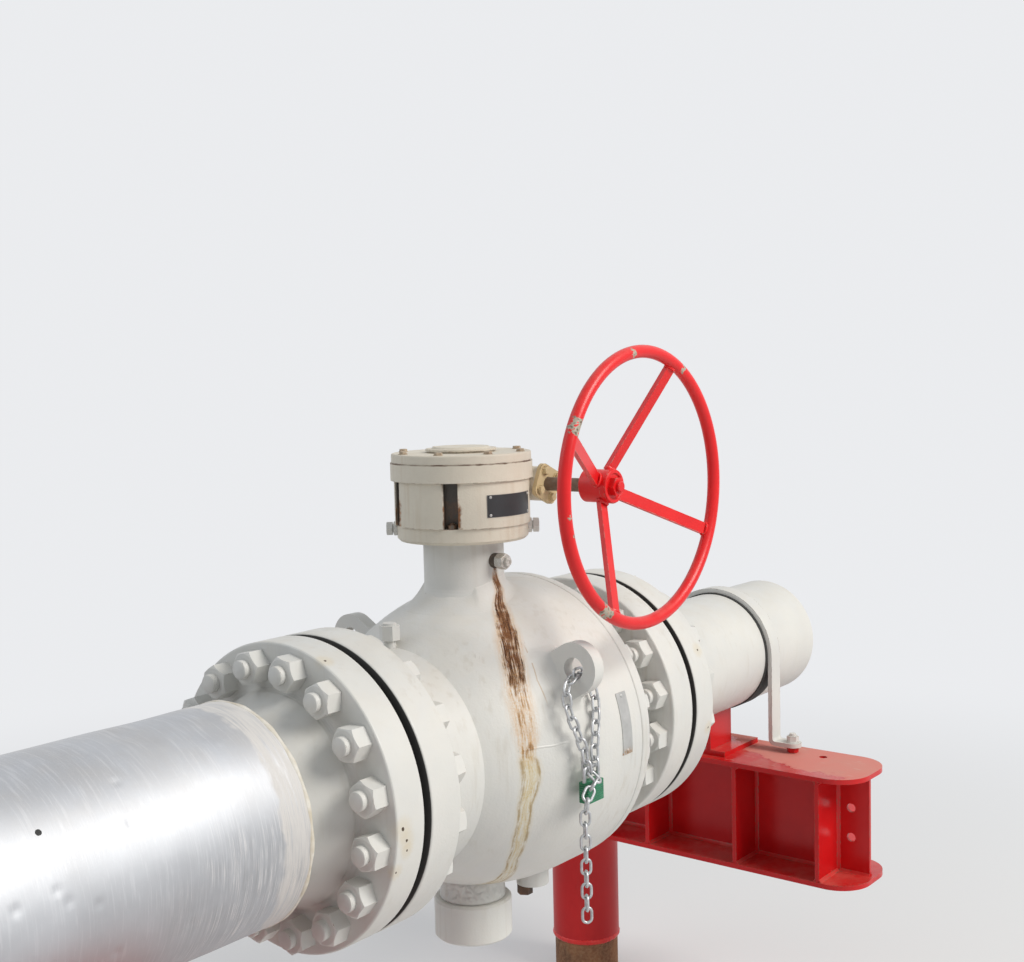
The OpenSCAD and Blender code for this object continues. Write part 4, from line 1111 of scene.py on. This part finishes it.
WHEEL_RED = wheel_red_finish()
dress(WHEEL_RED, "handwheel_hub", "handwheel_spokes", "handwheel_rim", "handwheel_nut")
SHAFT_STEEL, tree, shader = new_finish("shaft_steel")
patches = place_group(tree, BLOTCHES, Scale=45.0)
colour = mix_colour(patches["Large"], (0.13, 0.075, 0.045), (0.20, 0.18, 0.16))
coat(shader, mix_colour(mult(patches["Fine"], 0.5), colour, (0.26, 0.13, 0.06)), Metallic=0.4, Roughness=0.6)
dress(SHAFT_STEEL, "input_shaft")
HUB_FRONT = -266
trim = bmesh.new()
add_turned(trim, stem(WHEEL[0], HUB_FRONT, WHEEL[2]), (0, -1, 0),
           ((30.2, -1), (30.2, 2.0), (29.2, 3.0), (24.2, 3.0), (23.2, 2.0), (23.2, -1)), 48, loop=True)
add_turned(trim, stem(WHEEL[0], HUB_FRONT - 12, WHEEL[2]), (0, -1, 0), ((10, -2), (10, 5), (8.6, 6.5)), 32)
make_piece("handwheel_hub_trim", trim, WHEEL_RED, body="handwheel")
blobs = bmesh.new()
SPOKE_FIRST = 65.5
for k in range(4):
    angle = radians(SPOKE_FIRST + 90 * k)
    out = Vector((cos(angle), 0, sin(angle)))
    side_way = Vector((-sin(angle), 0, cos(angle)))
    for end, reach, depth in (("rim", RIM_R - RIM_TUBE_R + 0.5, 4.0), ("hub", 31, 80.5)):
        centre = stem(WHEEL[0] + out.x * reach, WHEEL[1] + depth, WHEEL[2] + out.z * reach)
        rings = []
        for i in range(24):
            turn = 2 * pi * i / 24
            spread = side_way * cos(turn) * 11.6 + Vector((0, sin(turn) * 6.2, 0))
            at = centre + spread / 1000
            wave = 1 + 0.25 * noise.noise(at * 260)
            radial = (side_way * cos(turn) + Vector((0, sin(turn), 0)))
            rings.append([at + (radial * cos(t) * 3.0 * wave + out * sin(t) * 3.6 * wave) / 1000
                          for t in (radians(60 * s) for s in range(6))])
        skin_rings(blobs, rings, loop=True)
make_piece("handwheel_welds", blobs, WHEEL_RED, body="handwheel", smooth_below=60)


# Fittings: a dark steel sealant fitting screwed into the neck, with a paler hexagon cap on it, a
# vent plug on the body's left shoulder, painted with it, and a rusty plug in the drain boss below.
DARK_STEEL = two_tone_finish("dark_steel", 50.0, (0.055, 0.048, 0.042), (0.16, 0.085, 0.05), Roughness=0.65,
                             Metallic=0.3)
dress(DARK_STEEL, "drain_plug")
FITTING = two_tone_finish("sealant_fitting_steel", 70.0, (0.060, 0.050, 0.042), (0.16, 0.125, 0.10), Roughness=0.55,
                          Metallic=0.3)
FITTING_CAP, tree, shader = new_finish("fitting_cap_steel")
patches = place_group(tree, BLOTCHES, Scale=90.0)
specks = add_node(tree, "TexNoise", Scale=420.0, Detail=2.0)
colour = mix_colour(patches["Large"], (0.66, 0.65, 0.62), (0.42, 0.39, 0.34))
coat(shader, mix_colour(fade(specks.outputs["Fac"], 0.60, 0.66), colour, (0.10, 0.07, 0.05)), Roughness=0.45,
     Metallic=0.25)
FITTING_TURN, FITTING_Z = radians(-92), 334
out = Vector((cos(FITTING_TURN), sin(FITTING_TURN), 0))
fitting = bmesh.new()
add_nut(fitting, stem(out.x * 70.5, out.y * 70.5, FITTING_Z), out, 24, 13.5, 0.5, 0.3)
add_turned(fitting, stem(0, 0, FITTING_Z), out, ((13.5, 69), (13.5, 74.8), (12.5, 75.6), (9, 75.6)), 40)
add_turned(fitting, stem(0, 0, FITTING_Z), out, ((10.4, 83), (10.4, 85.5)), 40)
fitting_body = make_piece("sealant_fitting_base", fitting, FITTING, smooth_below=28)
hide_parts("sealant_fitting")
fitting = bmesh.new()
add_nut(fitting, stem(out.x * 85, out.y * 85, FITTING_Z), out, 26, 19, 8.2, 0.55, both_ends=True)
add_turned(fitting, stem(0, 0, FITTING_Z), out, ((8.5, 100), (8.5, 108.6), (7.6, 110), (3.4, 110), (2.6, 108.6),
                                                 (0.6, 107.6)), 32)
make_piece("sealant_fitting_cap", fitting, FITTING_CAP, smooth_below=28)
dress(NUT_GREY, "vent_fitting")


# Insulation and cladding: mineral wool shells round the left pipe under a rolled aluminium sheet.
# The sheet is scuffed, scratched round by its bands, and dented where feet and tools have hit it.
CLAD_R = 179
CLAD_START, CLAD_END = -565.4, -1150
CLAD_DENTS = (  # place along the pipe, degrees round it, width and depth
    (-781, 96, 40, 5.0), (-748, 104, 30, 2.2), (-640, 118, 90, 1.6), (-668, 112, 34, 2.0), (-622, 96, 26, 1.6),
    (-700, 60, 100, 2.0), (-820, 120, 110, 1.8),
    (-905, 150, 120, 1.6), (-760, 200, 90, 1.4), (-980, 100, 100, 2.0), (-1060, 140, 110, 1.6),
    (-860, 250, 110, 2.0), (-1020, 300, 110, 2.0), (-720, 330, 100, 2.0), (-851, 127, 9, 1.2), (-861, 147, 10, 1.4),
    (-988, 164, 9, 1.3), (-1046, 166, 11, 1.4), (-784, 200.6, 9, 1.2), (-987, 147, 8, 1.0), (-974, 170, 10, 1.0),
    (-933, 175, 9, 1.0), (-1090, 150, 10, 1.2), (-690, 190, 8, 0.9), (-905, 200, 10, 1.2), (-640, 60, 10, 1.2))


def clad_radius(x, angle):
    """The sheet's radius where dents of a place, a width and a depth press it in."""
    press = 0.0
    for dent_x, dent_turn, width, depth in CLAD_DENTS:
        arc = (degrees(angle) - dent_turn + 180) % 360 - 180
        far = hypot(x - dent_x, radians(arc) * CLAD_R) / width
        if far < 1:
            press += depth * (1 - far * far) ** 2
    ripple = noise.noise(Vector((x / 110, cos(angle) * 1.8, sin(angle) * 1.8))) * 0.8
    crumple = noise.noise(Vector((x / 30, cos(angle) * 6, sin(angle) * 6))) * 0.12
    return CLAD_R - 1.0 - press + min(0.8, ripple + crumple)


ALUMINIUM, tree, shader = new_finish("clad_aluminium")
place = object_place(tree)
at = parts_of(place)
patches = place_group(tree, BLOTCHES, Scale=5.0)
dust = place_group(tree, DUST, Scale=10.0)
bands = stretched(place, (1.0, 0.05, 0.05))
scuffs = cloud_over(bands, 260.0, 5.0, 0.7)
hoops = stretched(place, (1.0, 0.02, 0.02))
lines = cloud_over(hoops, 700.0, 3.0, 0.6)
broken = cloud_over(place, 16.0, 3.0)
rubbed = mult(fade(at["X"], -1.76, -1.58), fade(at["Z"], 0.98, 0.86))
rubbed = mult(rubbed, fade(broken, 0.36, 0.58))
cut_lines = mult(fade(lines, 0.54, 0.60), rubbed)
dark_lines = mult(fade(lines, 0.46, 0.40), rubbed)
colour = mix_colour(patches["Large"], (0.53, 0.545, 0.57), (0.45, 0.46, 0.48))
colour = mix_colour(mult(fade(scuffs, 0.50, 0.64), 0.30), colour, (0.68, 0.69, 0.71))
colour = mix_colour(mult(cut_lines, 0.6), colour, (0.80, 0.79, 0.78))
colour = mix_colour(mult(dark_lines, 0.5), colour, (0.40, 0.40, 0.41))
colour = mix_colour(mult(dust["Dust"], 0.18), colour, (0.66, 0.61, 0.54))
edge_at = calc("ADD", at["X"], mult(broken, 0.050))
smeared = mult(fade(edge_at, -1.482, -1.472), fade(scuffs, 0.26, 0.56))
colour = mix_colour(mult(smeared, 0.60), colour, (0.75, 0.715, 0.67))
tree.links.new(colour, shader.inputs["Base Color"])
metal = add_node(tree, "MapRange", [("Value", smeared)], To_Min=0.92, To_Max=0.45)
tree.links.new(metal.outputs[0], shader.inputs["Metallic"])
rough = add_node(tree, "MapRange", [("Value", scuffs)], From_Min=0.35, From_Max=0.7, To_Min=0.54, To_Max=0.65)
rough = calc("ADD", rough.outputs[0], mult(cut_lines, 0.18))
tree.links.new(calc("ADD", rough, mult(smeared, 0.20)), shader.inputs["Roughness"])
fine = calc("ADD", mult(scuffs, 0.5), mult(cut_lines, 0.5))
give_height(shader, fine, 0.14)


def clad_rings(stations, around, sink):
    """Rings of the dented round at these places along the pipe, sunk below the sheet's face."""
    rings = []
    for x in stations:
        ring = []
        for j in range(around):
            angle = 2 * pi * j / around
            radius = clad_radius(x, angle) - sink
            ring.append(stem(x, radius * cos(angle), radius * sin(angle)))
        rings.append(ring)
    return rings


def plain_ring(x, radius, around):
    return [stem(x, radius * cos(2 * pi * j / around), radius * sin(2 * pi * j / around)) for j in range(around)]


ALONG, ROUND = 150, 240
CLAD_T, CLAD_RING_T = 1.6, 3
CLAD_BORE_R = 137.2
sheet = bmesh.new()
rings = clad_rings([CLAD_START + (CLAD_END - CLAD_START) * i / ALONG for i in range(ALONG + 1)], ROUND, 0)
rings += [plain_ring(CLAD_END, CLAD_BORE_R, ROUND), plain_ring(CLAD_END + CLAD_RING_T, CLAD_BORE_R, ROUND)]
inner_start, inner_end = CLAD_END + CLAD_RING_T, CLAD_START - CLAD_RING_T
rings += clad_rings([inner_start + (inner_end - inner_start) * i / 50 for i in range(51)], ROUND, CLAD_T)
rings += [plain_ring(inner_end, CLAD_BORE_R, ROUND), plain_ring(CLAD_START, CLAD_BORE_R, ROUND)]
skin_rings(sheet, rings, loop=True)
cladding = make_piece("cladding_sheet", sheet, ALUMINIUM, smooth_below=35)
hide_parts("left_cladding")
WOOL, tree, shader = new_finish("mineral_wool")
fibres = place_group(tree, SKIN, Grain=700.0, Waves=90.0)
coat(shader, mix_colour(fibres["Height"], (0.42, 0.36, 0.20), (0.60, 0.54, 0.34)), Roughness=0.95)
give_height(shader, fibres["Height"], 2.0)
wool = bmesh.new()
rings = clad_rings([inner_start + (inner_end - inner_start) * i / 50 for i in range(51)], 120, CLAD_T + 0.9)
rings += [plain_ring(inner_end, PIPE_R + 0.3, 120), plain_ring(inner_start, PIPE_R + 0.3, 120)]
skin_rings(wool, rings, loop=True)
shells = make_piece("wool_shells", wool, WOOL, smooth_below=60)
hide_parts("left_insulation")
trim = bmesh.new()
bead_round(trim, stem(CLAD_START - 1.5, 0, 0), (1, 0, 0), CLAD_R - 1.6, 9, 1.6, 17, count=300, swell=0.25)
SEALANT = two_tone_finish("edge_sealant", 35.0, (0.60, 0.54, 0.43), (0.76, 0.73, 0.67), Roughness=0.7)
for side in (-1, 1):
    rings = []
    for i in range(48):
        turn = 2 * pi * i / 48
        x = -931 + 23 * copysign(abs(cos(turn)) ** 0.5, cos(turn))
        y = 137 + 8.5 * copysign(abs(sin(turn)) ** 0.5, sin(turn))
        ring = []
        for out, drop in ((-4, 3), (-2.5, -2.5), (0.5, -3.2), (3.5, -1.0), (4.5, 2.5)):
            wave = 1 + 0.25 * noise.noise(Vector((x / 8, y / 8, out / 4)))
            px, py = x + out * cos(turn) * wave, y + out * sin(turn) * wave
            ring.append(stem(px, side * py, -sqrt(CLAD_R ** 2 - min(py, 170) ** 2) + drop * wave))
        rings.append(ring)
    skin_rings(trim, rings, loop=True)
make_piece("cladding_edge_sealant", trim, SEALANT, smooth_below=60)


# Pipe straps: flat bars bent over the pipe, painted light grey. Each foot stands off the beam on a
# nut, on one long bolt that a second nut and a third under the flange hold.
STRAP_GREY = grey_paint_finish("strap_grey", stain=0.1, chip_share=0.3)
dress(STRAP_GREY, "right_strap", "left_strap")
RUBBER = two_tone_finish("liner_rubber", 40.0, (0.022, 0.022, 0.022), (0.05, 0.05, 0.048), patch="Fine",
                         Roughness=0.75)
dress(RUBBER, "right_strap_liner")
# A small hole in the sheet: a low dark disc of liner rubber stands for it, as painted shade for the hole's dark
# inside.
plug = bmesh.new()
HOLE_X, HOLE_TURN = -987, 139.2
out = Vector((0, cos(radians(HOLE_TURN)), sin(radians(HOLE_TURN))))
hole_r = clad_radius(HOLE_X, radians(HOLE_TURN))
add_turned(plug, stem(HOLE_X, out.y * hole_r, out.z * hole_r), out, ((4.4, -1), (4.4, 0.3), (3.6, 0.8), (0.5, 0.5)),
           24)
make_piece("cladding_hole_shade", plug, RUBBER)
FOOT_TOP, FOOT_BOTTOM = -198, -208
STRAP_NUT = (24, 13, 7)  # across its flats, its height and its bore
STRAP_THREAD = (8, 2.5, 0.7)  # radius, pitch and depth
STRAP_X, STRAP_FEET = 931, (191.5, 188.8)
red_bolts, pale_nuts = bmesh.new(), bmesh.new()
for x, foot_y in zip((STRAP_X, -STRAP_X), STRAP_FEET):
    for side in (-1, 1):
        at = stem(x, side * foot_y, 0)
        drop = Vector((0, 0, 1))
        add_stud(red_bolts, at + drop * -0.250, (0, 0, 1), 50, *STRAP_THREAD, ((0, 10), (30, 50)))
        add_stud(pale_nuts, at + drop * -0.201, (0, 0, 1), 24, *STRAP_THREAD, ((16, 24),))
        for z, way in ((FOOT_BOTTOM, -1), (BEAM_TOP - FLANGE_T, -1)):
            add_nut(red_bolts, at + drop * z / 1000, (0, 0, way), *STRAP_NUT, 0.2 * side)
        add_turned(pale_nuts, at + drop * FOOT_TOP / 1000, (0, 0, 1), ((15, 0), (15, 2.5), (8.5, 2.5), (8.5, 0)), 32,
                   loop=True)
        add_nut(pale_nuts, at + drop * (FOOT_TOP + 2.5) / 1000, (0, 0, 1), *STRAP_NUT, 0.5)
make_piece("strap_bolts", red_bolts, POST_RED, smooth_below=40)
make_piece("strap_top_nuts", pale_nuts, STRAP_GREY, smooth_below=28)


# Lock chain: galvanised welded chain, 5 mm wire. It is looped through the near lifting ear, the
# padlock joins its two strands below, and the rest of it hangs free. The padlock is a stack of
# green steel plates, riveted through.
WIRE_R = 2.5
LINK_PITCH = 21.5
LINK_PLAY = 0.4
LINK_TURN_R = 8.0
LINK_STRAIGHT = LINK_PITCH + 2 * WIRE_R - 2 * LINK_TURN_R
LINK_STEP = LINK_PITCH - LINK_PLAY
LINK_TURN_IN = (LINK_STEP - LINK_STRAIGHT) / 2
LUG_REACH, LUG_HOLE_R = 315, 20
STRAND_LEANS = ((60, 0), (32, 8), (4, 10), (-12, 12), (-18, 12), (-22, 10), (-18, 8), (-5, 6), (-7, 4))
TAIL_LEANS = ((6, 52), (-62, 24), (-44, 0), (-16, 0)) + ((0, 0),) * 9


def hang_way(along, away):
    along, away = radians(along), radians(away)
    return Vector((sin(along), -cos(along) * sin(away), -cos(along) * cos(away)))


def chain_run(ways):
    """Each link stands square to the one before it and bears on the inside of its end."""
    first = Vector((-ways[0].x * LINK_STEP / 2, -LUG_REACH * cos(LUG_TILT),
                    LUG_REACH * sin(LUG_TILT) - LUG_HOLE_R + LINK_TURN_R + WIRE_R + LINK_PLAY))
    run = [(first, ways[0], Vector((0, 0, 1)))]
    for way in ways[1:]:
        start, last_way, last_across = run[-1]
        turned = (way.dot(last_way) * last_way + way.dot(last_across) * last_across).normalized()
        start = start + LINK_STEP * last_way + LINK_TURN_IN * (2 * turned - last_way - way)
        across = last_way.cross(last_across)
        run.append((start, way, (across - across.dot(way) * way).normalized()))
    return run


def add_link(bm, start, way, across, rounds=12, sides=10):
    middle = start + way * LINK_STEP / 2
    rise = way.cross(across)
    rings = []
    for end in (1, -1):
        for i in range(rounds):
            angle = radians(-90 + 180 * i / (rounds - 1))
            out = way * cos(angle) * end + across * sin(angle) * end
            centre = middle + way * end * LINK_STRAIGHT / 2 + out * LINK_TURN_R
            rings.append([stem(*(Vector((LUG_X, 0, 0)) + centre + (out * cos(t) + rise * sin(t)) * WIRE_R))
                          for t in (2 * pi * s / sides for s in range(sides))])
    skin_rings(bm, rings, loop=True)


GALVANISED, tree, shader = new_finish("galvanised")
patches = place_group(tree, BLOTCHES, Scale=90.0)
coat(shader, mix_colour(patches["Large"], (0.44, 0.45, 0.46), (0.62, 0.63, 0.64)), Metallic=0.85)
rough = add_node(tree, "MapRange", [("Value", patches["Fine"])], To_Min=0.28, To_Max=0.5)
tree.links.new(rough.outputs[0], shader.inputs["Roughness"])
links = bmesh.new()
near_strand = chain_run([Vector((1, 0, 0))] + [hang_way(a, b) for a, b in STRAND_LEANS])
far_strand = chain_run([Vector((-1, 0, 0))] + [hang_way(-a, b) for a, b in STRAND_LEANS]
                       + [hang_way(a, b) for a, b in TAIL_LEANS])
for start, way, across in near_strand + far_strand[1:]:
    add_link(links, start, way, across)
chain = make_piece("chain_links", links, GALVANISED, smooth_below=60)
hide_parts("lock_chain")
dress(GALVANISED, "padlock_shackle")
PADLOCK_GREEN, tree, shader = new_finish("padlock_green")
patches = place_group(tree, BLOTCHES, Scale=60.0)
edges = place_group(tree, EDGES, Reach=0.0012, Chip_Scale=260.0, Chip_Share=0.35)
colour = mix_colour(patches["Large"], (0.012, 0.16, 0.07), (0.02, 0.24, 0.11))
colour = mix_colour(mult(edges["Edge"], 0.5), colour, (0.35, 0.45, 0.40))
coat(shader, colour, Metallic=0.3, Roughness=0.35)
lock_low, lock_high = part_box("padlock_body")
middle = (Vector(lock_low) + Vector(lock_high)) / 2
half_w, half_t = (lock_high[0] - lock_low[0]) / 2, (lock_high[1] - lock_low[1]) / 2
plates = bmesh.new()
rings = []
LOCK_PLATES, LOCK_CORNER = 9, 0.004
plate_h = (lock_high[2] - lock_low[2]) / LOCK_PLATES
for k in range(LOCK_PLATES):
    for rise, inset in ((0, 0.0009), (0.12, 0.0001), (0.88, 0.0001), (1, 0.0009)):
        z = lock_high[2] - (k + rise) * plate_h
        ring = []
        for corner, (sx, sy) in enumerate(((1, -1), (1, 1), (-1, 1), (-1, -1))):
            for step in range(6):
                turn = radians(-90 + corner * 90 + step * 18)
                ring.append(Vector((middle.x + sx * (half_w - LOCK_CORNER) + (LOCK_CORNER - inset) * cos(turn),
                                    middle.y + sy * (half_t - LOCK_CORNER) + (LOCK_CORNER - inset) * sin(turn), z)))
        rings.append(ring)
skin_rings(plates, rings)
for sx in (-1, 1):
    for sy in (-1, 1):
        foot = Vector((middle.x + sx * (half_w - 0.006), middle.y + sy * (half_t - 0.0055), lock_low[2]))
        add_turned(plates, foot, (0, 0, -1), ((3, -1), (3, 0.3), (2, 0.9), (0.4, 1.1)), 14)
padlock = make_piece("padlock_plates", plates, PADLOCK_GREEN, smooth_below=35)
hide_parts("padlock_body")
